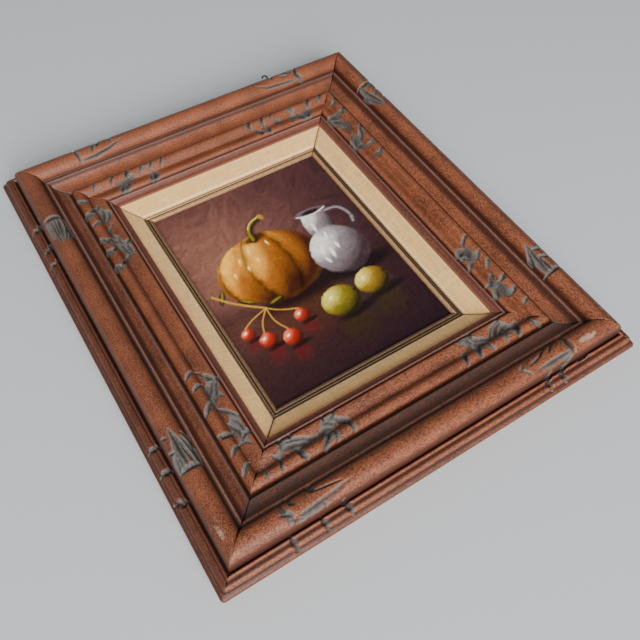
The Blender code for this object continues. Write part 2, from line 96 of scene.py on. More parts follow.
class MouldingSizes(bpy.types.PropertyGroup):
    """Members of the carved moulding, from the lip at the liner to the foot."""
    start: length("Start", 0.0238, "Where the lip begins, out from the sight edge")
    rabbet: length("Rabbet", 0.0297, "Where the rabbet's wall stands")
    lip_under: length("Under the lip", 0.0193, "Height of the lip's underside")
    lip: length("Lip", 0.0021, "Thickness of the lip over the liner")
    step_width: length("Step width", 0.0054, "Width of the small cove beside the lip")
    step_rise: length("Step rise", 0.0031, "Rise of the small cove beside the lip")
    small_bead: length("Small bead", 0.0024, "Width of the small bead")
    small_bead_rise: length("Small bead rise", 0.0012, "Rise of the small bead")
    quirk: length("Quirk", 0.0010, "Width of the quirk beside the small bead")
    quirk_depth: length("Quirk depth", 0.0007, "Depth of the quirk")
    shoulder: length("Shoulder", 0.0030, "Width of the face's rounded shoulder")
    shoulder_rise: length("Shoulder rise", 0.0035, "Rise of the face's rounded shoulder")
    fall: length("Fall", 0.0115, "Width of the face that falls to the bead")
    fall_depth: length("Fall depth", 0.0034, "How far the face falls to the bead")
    bead: length("Bead", 0.0060, "Half width of the inner bead")
    bead_rise: length("Bead rise", 0.0051, "Rise of the inner bead")
    bead_lift: length("Bead lift", 0.0011, "Height of the bead's centre over the hollow")
    crevice: length("Crevice", 0.0022, "Width of the crevice beside the bead")
    crevice_depth: length("Crevice depth", 0.0026, "Depth of the crevice")
    cove_flat: length("Cove flat", 0.0022, "Width of the flat at the cove's foot")
    cove: length("Cove", 0.0116, "Width of the cove")
    cove_rise: length("Cove rise", 0.0077, "Rise of the cove")
    fillet: length("Fillet", 0.0024, "Width of the fillet over the cove")
    fillet_rise: length("Fillet rise", 0.0007, "Rise of the fillet")
    groove: length("Groove", 0.0022, "Width of the groove beside the half round")
    groove_depth: length("Groove depth", 0.0010, "Depth of that groove")
    rail: length("Half round", 0.0103, "Radius of the half round rail")
    rail_lift: length("Half round lift", 0.0010, "Height of its centre over the groove")
    neck_drop: length("Neck drop", 0.0062, "Drop outside the half round")
    neck: length("Neck", 0.0011, "Width of the neck")
    ledge_bead: length("Ledge bead", 0.0016, "Radius of the thin bead on the ledge")
    ledge_groove: length("Ledge groove", 0.0028, "Depth of the groove between ledge beads")
    wide_bead: length("Wide bead", 0.0035, "Width of the wide bead on the ledge")
    wide_bead_rise: length("Wide bead rise", 0.0032, "Rise of the wide bead")
    foot_cove: length("Foot cove", 0.0016, "Width of the cove over the foot")
    foot_drop: length("Foot drop", 0.0034, "Drop of the cove over the foot")
    foot: length("Foot", 0.0026, "Width of the foot")
    foot_slope: length("Foot slope", 0.0020, "Fall of the foot's top")
    foot_edge: length("Foot edge", 0.0146, "Height of the foot's lower edge")
    undercut: length("Undercut", 0.0043, "How far the back is undercut")


class CarvingSizes(bpy.types.PropertyGroup):
    """Cuts of the carving and the fineness of its mesh."""
    leaf_depth: length("Leaf depth", 0.0023, "Depth of the gouges of the large leaf")
    spray_depth: length("Spray depth", 0.0021, "Depth of the gouges of the inner spray")
    scallop_depth: length("Scallop depth", 0.0023, "Depth of the scallops over the bead")
    notch_depth: length("Notch depth", 0.0026, "Depth of the notches in the ledge")
    ease: length("Eased edge", 0.0004, "How far the mitred edges are rubbed down")
    corner_round: length("Corner round", 0.0034, "Radius of the ledge's worn corners")
    fine: length("Fine step", 0.00065, "Step of the mesh over the carving")
    coarse: length("Coarse step", 0.00095, "Step of the mesh over plain members")


class LinerSizes(bpy.types.PropertyGroup):
    """The linen covered liner and the gilt slip inside it."""
    face_edge: length("Linen edge", 0.0006, "Radius of the linen's inner edge")
    face_start: length("Linen foot", 0.0080, "Where the liner begins, out from the sight edge")
    face_top: length("Linen top", 0.0189, "Height of the liner's outer edge")
    sight_top: length("Linen sight", 0.0099, "Height of the liner's inner edge")
    back: length("Liner back", 0.0020, "Height of the liner's back off the wall")
    end: length("Liner end", 0.0293, "Where the liner ends under the lip")
    slip_back: length("Slip back", 0.0055, "Height of the slip's back off the wall")
    slip_face: length("Slip face", 0.0017, "Height of the slip's inner face")
    slip_lip: length("Slip lip", 0.0030, "Width of the slip's rounded lip")
    slip_rise: length("Slip rise", 0.0017, "Rise of the slip's rounded lip")
    slip_cove: length("Slip cove", 0.0016, "Width of the slip's cove")
    slip_cove_depth: length("Slip cove depth", 0.0010, "Depth of the slip's cove")
    slip_bead: length("Slip bead", 0.0014, "Width of the slip's bead")
    slip_bead_rise: length("Slip bead rise", 0.0011, "Rise of the slip's bead")
    slip_width: length("Slip width", 0.0077, "Width of the slip")


class Finishes(bpy.types.PropertyGroup):
    """Colours of the wood, wax, linen, gilt and wire."""
    stain_light: colour("Stain, light", (0.345, 0.104, 0.041), "Rubbed stain on high places")
    stain_mid: colour("Stain, middle", (0.128, 0.034, 0.013), "Stain over most of the wood")
    # Also the colour of painted shade along the deepest cuts of the carving
    stain_dark_and_shade: colour("Stain, dark", (0.030, 0.008, 0.004), "Flecks and pores in the stain")
    edge: colour("Rubbed edge", (0.210, 0.120, 0.098), "Greyed arrises of the fillets")
    # Also the colour of painted shade in the rail's hollows, in the wax and in the dark bands
    deep_stain_and_shade: colour("Stain, deep", (0.030, 0.006, 0.002), "Stain gathered in the quirks")
    stain_plum: colour("Stain, plum", (0.100, 0.033, 0.026), "Duller stain on the inner steps")
    wax: colour("Wax", (0.058, 0.060, 0.055), "Grey wax left in the carving")
    wax_light: colour("Wax, light", (0.112, 0.117, 0.106), "Wax where it is rubbed")
    dust: colour("Dust", (0.070, 0.050, 0.044), "Greyed dirt along the crevice and the cove")
    bare: colour("Scuff", (0.62, 0.50, 0.42), "Scuffs on the half round rail")
    back_wood: colour("Back", (0.40, 0.27, 0.15), "Unstained wood at the back")
    linen: colour("Linen", (1.0, 0.65, 0.25), "Threads of the linen")
    # Also the colour of painted shade in the linen's hollows
    linen_dark_and_shade: colour("Linen, dark", (0.60, 0.35, 0.125), "Gaps between the linen's threads")
    gilt: colour("Gilt", (0.40, 0.225, 0.105), "Aged gold on the slip")
    # Dirt and painted shade in the slip's cove, and painted shade on the right length's outer part
    gilt_dirt_and_shade: colour("Gilt, dark", (0.020, 0.010, 0.005), "Dirt in the slip's cove")
    wire: colour("Wire", (0.022, 0.024, 0.025), "Blackened steel wire")


class PaintColours(bpy.types.PropertyGroup):
    """Colours laid out for the still life."""
    ground: colour("Ground", (0.120, 0.052, 0.052), "Plum brown of the background")
    glow: colour("Glow", (0.300, 0.150, 0.110), "Warm light on the background")
    dusk: colour("Dusk", (0.040, 0.019, 0.028), "Aubergine shade of the background")
    shadow: colour("Shadow", (0.014, 0.007, 0.010), "Shadows where the forms stand")
    table: colour("Table", (0.075, 0.030, 0.026), "Polished table")
    amber: colour("Amber", (0.50, 0.200, 0.030), "Body of the squash")
    amber_light: colour("Amber, light", (0.92, 0.52, 0.11), "Lit ribs of the squash")
    amber_dark: colour("Amber, dark", (0.085, 0.026, 0.010), "Shade of the squash")
    olive: colour("Olive", (0.33, 0.26, 0.030), "Body of the limes")
    olive_light: colour("Olive, light", (0.80, 0.72, 0.20), "Light on the limes")
    olive_dark: colour("Olive, dark", (0.040, 0.028, 0.008), "Shade of the limes")
    white: colour("White", (0.34, 0.29, 0.30), "Body of the jug")
    white_light: colour("White, light", (0.94, 0.90, 0.84), "Light on the jug")
    white_dark: colour("White, dark", (0.080, 0.050, 0.056), "Shade of the jug")
    red: colour("Red", (0.50, 0.050, 0.022), "Body of the berries")
    red_light: colour("Red, light", (0.90, 0.30, 0.17), "Light on the berries")
    red_dark: colour("Red, dark", (0.065, 0.008, 0.009), "Shade of the berries")
    twig: colour("Twig", (0.58, 0.34, 0.07), "Twigs and stems")


class StageSettings(bpy.types.PropertyGroup):
    """The ground, the lights and the camera."""
    focal: FloatProperty(name="Focal length", default=38.0, unit="CAMERA",
                         description="Focal length over a 36 mm wide sensor")
    shift_x: FloatProperty(name="Shift X", default=0.0568, description="Camera shift sideways")
    shift_y: FloatProperty(name="Shift Y", default=0.0021, description="Camera shift upward")
    wall: colour("Wall", (0.47, 0.48, 0.495), "Pale plain ground behind the frame")
    key: FloatProperty(name="Key light", default=255.0, unit="POWER",
                       description="Power of the large soft light beside the camera")
    fill: FloatProperty(name="Fill light", default=3.0, unit="POWER",
                        description="Power of the soft light across from the camera")
    sky: FloatProperty(name="Surround", default=0.40, description="Strength of the even light")


CAMERA_PLACE = Vector((-0.22796, -0.52902, -0.5203))
CAMERA_RIGHT = Vector((0.85328, -0.01944, -0.5211))
CAMERA_UP = Vector((0.42929, -0.5411, 0.72313))
CAMERA_BACK = Vector((-0.29602, -0.84073, -0.45336))


def settings(name):
    return getattr(bpy.context.scene, name)


def arc(centre, radii, start, end, steps=24):
    """Points along part of an ellipse, angles measured from the outward direction."""
    turns = np.linspace(start, end, steps + 1)
    return [(centre[0] + radii[0] * math.cos(turn), centre[1] + radii[1] * math.sin(turn))
            for turn in turns]


def moulding_runs(m):
    """The carved moulding's section as runs of points, each run with its own mesh step."""
    pi = math.pi
    runs = []
    out, off = m.start, m.lip_under + m.lip
    runs.append(("plain", [(m.rabbet, 0.0), (m.rabbet, m.lip_under), (out, m.lip_under)]))
    step = arc((out, off + m.step_rise), (m.step_width, m.step_rise), -pi / 2, -pi / 8)
    out, off = out + m.step_width, off + m.step_rise
    small = arc((out + m.small_bead / 2, off), (m.small_bead / 2, m.small_bead_rise), pi, 0.0)
    out += m.small_bead + m.quirk
    quirk = [(out - m.quirk / 2, off - m.quirk_depth)]
    runs.append(("plain", step + small + quirk))
    face = arc((out + m.shoulder, off), (m.shoulder, m.shoulder_rise), pi, pi / 2)
    out, off = out + m.shoulder, off + m.shoulder_rise
    for share in np.linspace(0.0, 1.0, 25)[1:]:
        face.append((out + m.fall * share,
                     off - m.fall_depth * (1.0 - math.cos(pi * share)) / 2))
    out, off = out + m.fall, off - m.fall_depth
    runs.append(("carved", face))
    bead = arc((out + m.bead, off + m.bead_lift), (m.bead, m.bead_rise), pi * 10 / 9, 0.0, 48)
    runs.append(("carved", bead))
    out, off = out + m.bead * 2, off + m.bead_lift
    crevice = [(out + m.crevice / 4, off - m.crevice_depth),
               (out + m.crevice * 3 / 4, off - m.crevice_depth), (out + m.crevice, off)]
    runs.append(("plain", crevice))
    out += m.crevice + m.cove_flat
    cove = [(out, off)] + arc((out, off + m.cove_rise), (m.cove, m.cove_rise), -pi / 2, 0.0)
    out, off = out + m.cove, off + m.cove_rise + m.fillet_rise
    cove += [(out + m.fillet_rise / 2, off), (out + m.fillet, off)]
    out += m.fillet
    cove.append((out + m.groove / 2, off - m.groove_depth))
    runs.append(("plain", cove))
    out += m.groove
    centre = off - m.groove_depth + m.rail_lift
    runs.append(("carved", arc((out + m.rail, centre), (m.rail, m.rail), pi, 0.0, 64)))
    out, off = out + m.rail * 2, centre - m.neck_drop
    ledge = arc((out + m.neck, off), (m.neck, m.neck_drop / 2), pi, pi * 3 / 2)
    out += m.neck
    ledge += arc((out + m.ledge_bead, off - m.ledge_bead), (m.ledge_bead, m.ledge_bead),
                 pi * 3 / 4, pi / 6)
    out, off = out + m.ledge_bead * 2, off - m.ledge_groove
    ledge.append((out, off))
    start = math.radians(125.0)
    top = off + m.wide_bead_rise * (1.0 - math.sin(start))
    middle = out - m.wide_bead * math.cos(start)
    ledge += arc((middle, top - m.wide_bead_rise), (m.wide_bead, m.wide_bead_rise), start, 0.0)
    runs.append(("carved", ledge))
    out, off = middle + m.wide_bead, top - m.wide_bead_rise - m.foot_drop
    foot = arc((out + m.foot_cove, off + m.foot_drop), (m.foot_cove, m.foot_drop), pi * 7 / 6,
               pi * 3 / 2)
    out += m.foot_cove
    foot += [(out + m.foot, off - m.foot_slope), (out + m.foot, m.foot_edge)]
    runs.append(("plain", foot))
    runs.append(("back", [(out + m.foot - m.undercut, 0.0)]))
    return runs


def spaced_section(runs, steps):
    """Even points along each run. Returns the points as an array of (out, off)."""
    points = []
    last = None
    for kind, run in runs:
        chain = ([last] if last else []) + list(run)
        chain = np.array(chain)
        leg = np.hypot(*np.diff(chain, axis=0).T)
        chain = chain[np.concatenate(([True], leg > 1e-7))]
        leg = np.hypot(*np.diff(chain, axis=0).T)
        travel = np.concatenate(([0.0], np.cumsum(leg)))
        count = max(1, int(math.ceil(travel[-1] / steps[kind])))
        places = np.linspace(0.0, travel[-1], count + 1)
        even = np.stack([np.interp(places, travel, chain[:, 0]),
                         np.interp(places, travel, chain[:, 1])], 1)
        points.extend(even if last is None else even[1:])
        last = tuple(even[-1])
    return np.array(points)


def soften(section, keep, rounds=1):
    """Rubs the section's arrises down a little, but not where keep is true."""
    for _ in range(rounds):
        middle = (np.roll(section, 1, 0) + section * 2 + np.roll(section, -1, 0)) / 4
        section = np.where(keep[:, None], section, middle)
    return section


def outward_normals(section):
    """Unit normals of a closed section, pointing out of the wood."""
    along = np.roll(section, -1, 0) - np.roll(section, 1, 0)
    normal = np.stack([-along[:, 1], along[:, 0]], 1)
    return normal / np.maximum(np.hypot(*normal.T), 1e-9)[:, None]


def smooth_noise(shape, cell, seed, octaves=1):
    """Soft random values from -1 to 1 on a grid, with lumps of about cell steps."""
    dice = np.random.default_rng(seed)
    total = np.zeros(shape)
    share = 1.0
    for octave in range(octaves):
        step = [max(1.0, c / 2 ** octave) for c in cell]
        size = [int(n / c) + 3 for n, c in zip(shape, step)]
        values = dice.uniform(-1.0, 1.0, size)
        for axis, (n, c) in enumerate(zip(shape, step)):
            place = np.arange(n) / c
            low = place.astype(int)
            part = place - low
            part = part * part * (3.0 - 2.0 * part)
            first = np.take(values, low, axis)
            second = np.take(values, low + 1, axis)
            form = [1, 1]
            form[axis] = n
            part = part.reshape(form)
            values = first * (1.0 - part) + second * part
        total += values * share
        share *= 0.5
    return total


def bell(values, middle, width):
    """1 at the middle, and falling away softly over the width."""
    return np.exp(-((values - middle) / width) ** 2)


def rise(values, start, width):
    """0 up to the start, and climbing to 1 over the width."""
    return np.clip((values - start) / width, 0.0, 1.0)


def add_object(name, data):
    thing = bpy.data.objects.new(name, data)
    bpy.context.scene.collection.objects.link(thing)
    return thing


def smooth_mesh(name, points, corners, starts):
    """A mesh from its points, the corners of its faces and the place where each face starts."""
    mesh = bpy.data.meshes.new(name)
    mesh.vertices.add(len(points))
    mesh.vertices.foreach_set("co", points.astype(np.float32).ravel())
    mesh.loops.add(len(corners))
    mesh.loops.foreach_set("vertex_index", corners.astype(np.int32))
    mesh.polygons.add(len(starts))
    mesh.polygons.foreach_set("loop_start", starts.astype(np.int32))
    mesh.update(calc_edges=True)
    mesh.validate()
    mesh.shade_smooth()
    mesh.set_sharp_from_angle(angle=SHARP_ANGLE)
    return mesh


class Cutting:
    """The depth cut into one end of a rail, over its distance s from the mitre and out."""

    def __init__(self, s, out):
        self.along = s - out
        self.out = out
        self.depth = np.zeros(s.shape)

    def gouge(self, path, width, depth, lean):
        """A cut along a path of (s, out) places in millimetres, pointed at its ends."""
        points = np.array([((s - out) * MM, out * MM) for s, out in path])
        legs = np.diff(points, axis=0)
        sizes = np.hypot(*legs.T)
        travel = np.concatenate(([0.0], np.cumsum(sizes)))
        near = np.full(self.along.shape, 1e9)
        side = np.zeros(self.along.shape)
        share = np.zeros(self.along.shape)
        for (a0, o0), leg, size, base in zip(points, legs, sizes, travel):
            da, do = self.along - a0, self.out - o0
            t = np.clip((da * leg[0] + do * leg[1]) / size ** 2, 0.0, 1.0)
            gap = np.hypot(da - leg[0] * t, do - leg[1] * t)
            closer = gap < near
            near = np.where(closer, gap, near)
            side = np.where(closer, leg[0] * do - leg[1] * da, side)
            share = np.where(closer, (base + t * size) / travel[-1], share)
        point = np.sin(np.pi * np.clip(share, 0.0, 1.0)) ** 0.5
        half = width * MM / 2 * (0.1 + 0.9 * point)
        half = half * np.where(side < 0.0, 1.0 - 0.75 * lean, 1.0 + 0.75 * lean)
        across = np.clip(near / np.maximum(half, 1e-6), 0.0, 1.0)
        self.depth = np.maximum(self.depth, depth * point * (1.0 - across ** GOUGE_CROWN))


# The gouge cuts at each end of each rail, in millimetres: width, share of the full depth, then
# s and out of the places the cut runs through. End 1 of a rail is the one clockwise
CUTS = {
    ("left", -1): (
        (5.2, 1.0, 18, 32, 24, 38, 27, 44), (3.4, 1.0, 22, 37, 34, 37.6, 47, 42),
        (3.6, 1.0, 22, 42, 34, 42, 48, 46), (1.8, 0.6, 12, 36.5, 21, 41, 26, 45.5),
        (2.8, 0.8, 35, 31.8, 39, 35.8, 50, 40.5, 60, 45, 67, 47.6), (1.8, 0.6, 60, 36, 68, 40.6),
        (6.4, 1.0, 75, 31, 75, 37, 68, 45.5), (5.2, 1.0, 76, 34, 80, 40, 76, 47),
        (4.6, 1.0, 77, 36, 86, 40.5, 94, 42.5), (1.6, 0.7, 88, 42, 98, 44, 106, 48.5),
        (3.8, 0.7, 10.5, 46, 11.5, 52, 12, 57.5), (3.6, 0.9, 25.5, 45, 28, 50, 30, 57),
        (4.8, 1.1, 37, 45.5, 41, 51, 47, 56, 54, 58.8), (4.0, 1.0, 71.5, 46, 71.5, 53, 72.5, 59),
        (3.6, 0.8, 89, 46, 92, 51, 96, 57.5), (3.6, 0.8, 105, 47, 107, 52, 109.5, 58),
        (5.0, 1.0, 56, 79, 66, 89.5, 76, 99.6), (4.8, 1.2, 68, 89.4, 85, 90, 105, 90.3),
        (4.4, 0.9, 60, 83.2, 78, 86, 98, 88.8), (4.0, 0.8, 57, 79.8, 72, 80.8, 90, 84.6),
        (2.4, 0.9, 77, 78.8, 86, 80.4, 94, 84.6), (4.4, 0.7, 71, 94, 84, 93.6, 97, 92.4),
        (4.0, 0.6, 74, 98, 82, 97, 90, 96), (2.6, 0.9, 88.6, 94.2, 91, 97, 96, 99.8),
        (2.2, 0.7, 102, 95, 105, 97, 110, 99.4), (5.2, 1.0, 61, 100.8, 66, 106, 79, 113),
        (4.8, 1.0, 88, 100.8, 95, 106, 102, 112.6), (4.6, 1.0, 111, 100.8, 117, 106, 124, 112.4)),
    ("left", 1): (
        (4.8, 1.0, 17, 36.2, 26, 39, 37, 43.6), (4.2, 1.0, 16, 41.6, 26, 43, 38, 46.2),
        (2.2, 0.7, 9, 42, 17, 44.5, 20, 47), (3.6, 0.9, 14, 45, 24, 49, 33, 55),
        (6.4, 0.8, 30, 49.5, 34, 54.5, 37, 60), (2.6, 0.8, 37, 39.5, 45, 43.5, 52, 46.2, 58, 45),
        (3.2, 1.0, 55, 31.6, 62, 36, 68, 40), (2.8, 0.8, 55, 41.4, 62, 42.6, 69, 40.4),
        (4.8, 1.0, 65, 39.6, 73, 38.4, 83, 38.2), (3.8, 1.0, 67, 44, 74, 42.5, 83, 40.4),
        (3.6, 1.0, 79, 39.6, 86, 44, 96, 48.5, 107, 53.6), (2.8, 0.9, 69, 46.6, 78, 48.5, 90, 56),
        (3.6, 0.7, 9, 48, 15, 53, 14, 59), (3.6, 0.6, 39, 47.6, 46, 53, 52, 58.6),
        (4.6, 1.0, 61, 46.6, 71, 52, 70, 59), (4.4, 0.8, 82, 53.6, 88, 55.6, 86, 59),
        (4.8, 0.9, 103, 51, 109, 55, 107, 59.5), (4.8, 1.2, 55, 79, 66, 88.4, 78, 99.2),
        (4.4, 1.0, 60, 83, 78, 85.4, 97, 88.2), (4.0, 0.9, 66, 87.2, 84, 88.8, 99, 89.4),
        (4.4, 1.0, 71, 91.6, 86, 92, 104, 91), (3.0, 0.8, 55, 79.4, 72, 80, 99, 86.6),
        (2.2, 0.7, 66, 78.8, 80, 79.8, 93, 83.4), (3.6, 0.6, 76, 96.4, 88, 95.4, 101, 95.8),
        (5.6, 1.0, 65, 100.8, 73, 104.6, 79, 111.4), (5.2, 1.0, 92, 100.6, 102, 104.6, 112, 111),
        (4.6, 1.0, 114, 101, 120, 105, 126, 111)),
    ("bottom", 1): (
        (5.6, 1.0, 11, 30.8, 17, 36, 21, 42), (3.2, 0.9, 15, 35, 28, 37.8, 46, 42.2),
        (4.4, 1.0, 18, 40.4, 32, 42, 48, 45.6), (2.8, 0.9, 21.6, 31, 24, 34, 28, 38),
        (2.6, 0.7, 38, 40.6, 48, 44, 59, 45.6), (3.2, 0.9, 11, 41, 20, 46, 24, 53, 30, 58.4),
        (5.2, 1.1, 33, 43.4, 39, 49, 44, 54, 53, 59), (2.8, 0.6, 7.5, 46, 10, 51, 13.5, 56),
        (2.8, 0.9, 53, 31, 57, 35.5, 61, 40.6), (3.2, 0.9, 65, 31, 66, 36, 63.6, 42),
        (6.6, 0.9, 56, 38, 64, 40, 72, 42.6), (4.4, 0.9, 56, 45.4, 64, 43, 71, 45.4),
        (4.6, 1.0, 67, 37.4, 76, 43.5, 84, 46.5, 97, 58.8), (3.6, 0.8, 70, 45.6, 74, 51, 80, 58.6),
        (4.6, 1.2, 66, 45.6, 66.5, 52, 67.4, 59), (3.4, 0.8, 31, 78.6, 41, 88.5, 51, 99),
        (4.0, 0.9, 38, 78.8, 43, 83.6, 49, 87), (5.2, 1.0, 36, 88, 46, 91.6, 53, 96.6),
        (5.2, 1.0, 48, 96.6, 66, 96.4, 85, 94.6, 100, 91.4), (4.4, 0.8, 43, 92.4, 54, 97, 64, 98.6),
        (5.2, 1.0, 54, 78.4, 60, 82.5, 66, 86), (2.2, 0.8, 61, 84.8, 75, 86.5, 92, 88.8),
        (3.8, 0.9, 73, 93.6, 79, 97, 83, 99.6), (2.6, 0.6, 32, 81.6, 38, 87.4, 44, 91.6),
        (4.8, 1.1, 50, 100.8, 55, 106, 64, 112.8), (4.8, 1.0, 77, 100.8, 83, 106, 90, 112),
        (5.0, 1.0, 96, 100.6, 104, 104.8, 112, 111)),
    ("bottom", -1): (
        (3.2, 0.9, 10, 31.6, 19, 36, 31, 39, 46, 46.4), (6.2, 1.2, 17, 36.4, 27, 40.6, 41, 46.6),
        (5.2, 1.0, 18, 42, 29, 44, 39, 47.4), (4.4, 0.9, 43, 31.6, 50, 36, 56, 40.6),
        (5.6, 1.0, 49, 33.6, 56, 38, 58, 44), (4.2, 0.9, 45.6, 44.6, 53, 41, 58, 37.4),
        (4.2, 0.8, 51, 47.6, 57, 43.5, 61, 40), (4.2, 0.8, 57, 39, 62, 43, 65.6, 46),
        (3.0, 0.5, 57, 32.4, 62, 36, 67, 39), (3.2, 0.6, 4, 47, 11, 54, 10, 59.4),
        (5.8, 1.3, 11, 44, 22, 49.5, 29, 54, 36, 59), (4.2, 0.5, 29, 46, 38, 51, 48, 58),
        (3.6, 0.6, 51, 46.6, 58, 52, 62, 58.4), (4.8, 1.2, 58, 46, 68, 50.5, 78, 58.6),
        (4.6, 1.2, 71, 44.6, 82, 50, 94, 59), (5.8, 1.5, 31, 78.8, 41, 85.6, 54, 98.6),
        (2.4, 0.9, 37, 79, 50, 81.5, 66, 87.6), (2.4, 0.9, 51, 79, 64, 83, 78, 88),
        (3.0, 0.6, 70, 85.6, 80, 87.5, 88, 88.6), (4.4, 1.0, 52, 95, 70, 96, 93, 95.6),
        (3.2, 0.5, 86, 83.6, 97, 88.6, 97, 95), (3.0, 0.5, 56, 98.6, 68, 99.6),
        (4.8, 1.3, 65, 100.6, 74, 104.8, 80, 111.8), (4.4, 1.3, 81, 100.8, 90, 104.6, 96, 111.6),
        (2.6, 0.7, 37, 103.6, 46, 102.6, 56, 102.8)),
    ("right", 1): (
        (5.2, 1.0, 15, 32.6, 24, 38, 34, 43, 42, 47), (3.4, 0.9, 30, 32, 36, 39, 46, 44.5, 57, 48),
        (3.4, 0.8, 25, 44.6, 36, 46, 46, 47), (3.0, 0.7, 52, 32.2, 62, 38, 73, 44.6),
        (4.2, 0.9, 66, 33, 72, 38, 76, 45.6), (5.8, 1.1, 70, 32.6, 80, 40, 90, 47),
        (4.2, 0.9, 73, 43, 82, 45, 92, 46.8), (3.2, 0.6, 14, 48.6, 20, 53, 28, 58.6),
        (3.8, 0.9, 26, 46.6, 33, 52, 44, 58.8), (3.8, 0.9, 43, 47, 50, 53, 60, 58.9),
        (3.6, 0.6, 61, 48, 72, 53, 82, 58.6), (3.2, 0.6, 74, 47, 82, 51, 92, 57),
        (3.2, 0.8, 94, 46.6, 101, 50, 113, 58), (4.4, 1.1, 53, 79, 63, 89, 75, 99.6),
        (4.6, 1.0, 55, 82.4, 75, 83.6, 97, 85.8), (3.0, 1.2, 60, 86.8, 71, 87, 81, 86.2),
        (2.4, 0.8, 68, 79.6, 78, 81, 92, 84.4), (3.4, 0.9, 78, 84.6, 82, 91.6, 89, 99.4),
        (3.2, 0.9, 87, 85, 92, 91.6, 99, 99.4), (4.2, 1.0, 79, 100.8, 87, 106, 97, 112.4),
        (4.2, 1.0, 99, 100.8, 106, 106, 114, 112.4), (4.2, 0.9, 57, 100.8, 63, 106, 71, 112.4)),
    ("right", -1): (
        (6.2, 1.0, 11, 32, 18, 38, 22, 46.4), (7.0, 1.0, 16, 32, 24, 38, 33, 46.4),
        (2.6, 0.7, 24, 42, 36, 45.5, 52, 47), (3.2, 0.6, 35, 35.6, 40, 41, 46, 47.6),
        (2.8, 0.7, 57, 32, 56, 38, 53.6, 45), (5.4, 1.1, 67, 31.6, 64, 38, 60, 46),
        (4.8, 1.0, 66, 32.6, 70, 39, 73, 46.4), (5.8, 1.1, 70, 46, 64.5, 52, 63.5, 59.2),
        (4.2, 0.9, 9, 47, 14, 52, 12, 59), (4.2, 0.9, 21, 47, 30, 51, 29, 59.2),
        (3.8, 0.6, 79, 47, 86, 51, 87, 58), (3.6, 0.8, 93, 46.4, 101, 50, 103, 59),
        (5.2, 1.1, 45, 79, 54, 87, 63, 99.2), (4.6, 1.0, 48, 81.8, 64, 83, 80, 86, 94, 88.4),
        (2.6, 0.8, 58, 79.6, 75, 82, 94, 87), (3.6, 0.8, 62, 87, 61.6, 93, 60, 99.6),
        (3.2, 0.8, 75, 85.6, 75, 92, 73.6, 99.6), (2.8, 0.7, 89.4, 87.6, 88.4, 93, 86.6, 99.6),
        (4.4, 1.0, 55, 100.8, 58, 106, 59, 112.4), (4.2, 0.9, 72, 100.8, 74, 106, 74, 112.4),
        (4.2, 0.9, 86, 100.8, 88, 106, 88, 112.4)),
    ("top", -1): (
        (5.2, 1.0, 17, 32, 26, 39, 38, 47), (4.2, 0.9, 22, 32, 32, 40, 45, 47),
        (2.6, 0.7, 28, 45.4, 40, 46.4, 55, 48.4), (4.2, 0.9, 49, 32, 57, 38, 66, 46),
        (5.2, 1.3, 52, 31.8, 62, 39, 72, 46.8), (3.2, 0.6, 9, 48, 14, 52, 23, 58.6),
        (3.0, 0.9, 28, 48, 34, 53, 44, 59), (5.2, 1.2, 45, 47.6, 50, 53, 59, 59),
        (3.2, 0.6, 59, 48.6, 66, 52.4, 73, 58.4), (3.2, 0.7, 69, 48, 78, 53, 86, 59),
        (3.0, 0.8, 81, 47.4, 88, 52, 98, 59), (3.8, 1.0, 43, 79.6, 52, 90, 61, 99.6),
        (2.2, 0.9, 45, 81.4, 62, 81.4, 80, 83.5, 102, 88.4), (4.2, 0.8, 62, 84.6, 72, 92, 81, 99),
        (4.2, 1.1, 73, 89, 80, 94, 85, 99.2), (3.8, 0.6, 87, 87, 92, 93, 98, 99.2),
        (4.4, 1.0, 65, 100.8, 72, 105.6, 83, 112.4), (4.2, 0.9, 91, 100.8, 98, 106, 107, 112.4)),
    ("top", 1): (
        (6.2, 1.0, 15, 32, 20, 39, 23, 46.8), (6.8, 1.0, 20, 32.4, 28, 40, 38, 47),
        (3.2, 0.7, 33, 41, 45, 46.4), (2.4, 0.6, 37, 35, 42, 42, 47, 47),
        (3.6, 1.0, 63, 32.4, 69, 38, 74, 46.8), (4.6, 1.0, 75, 34, 81, 42, 90, 47),
        (3.0, 0.6, 58, 46, 67, 46.6), (4.0, 0.8, 10, 47.6, 10.5, 53, 12, 59),
        (4.2, 1.2, 21, 47, 26, 52, 28.6, 59), (5.2, 0.5, 41, 48, 48, 52, 52, 58),
        (3.6, 0.7, 71, 48.6, 75, 54, 78, 59.4), (4.2, 1.1, 79, 47, 84, 51, 89, 59),
        (4.6, 1.2, 94, 47, 100, 51, 105, 59.2), (5.0, 1.2, 42, 79.2, 54, 86, 64, 99.4),
        (2.0, 0.8, 50, 81, 70, 82, 90, 83, 113, 89.4), (5.4, 0.8, 62, 91.6, 72, 94, 83, 97),
        (3.2, 0.9, 66, 87.6, 78, 90.4), (3.2, 0.7, 86, 88.6, 90, 94, 93, 99.4),
        (5.2, 1.1, 57, 100.6, 63, 105.6, 68, 112.4), (4.4, 0.9, 83, 100.8, 88, 106, 93, 112.4)),
}
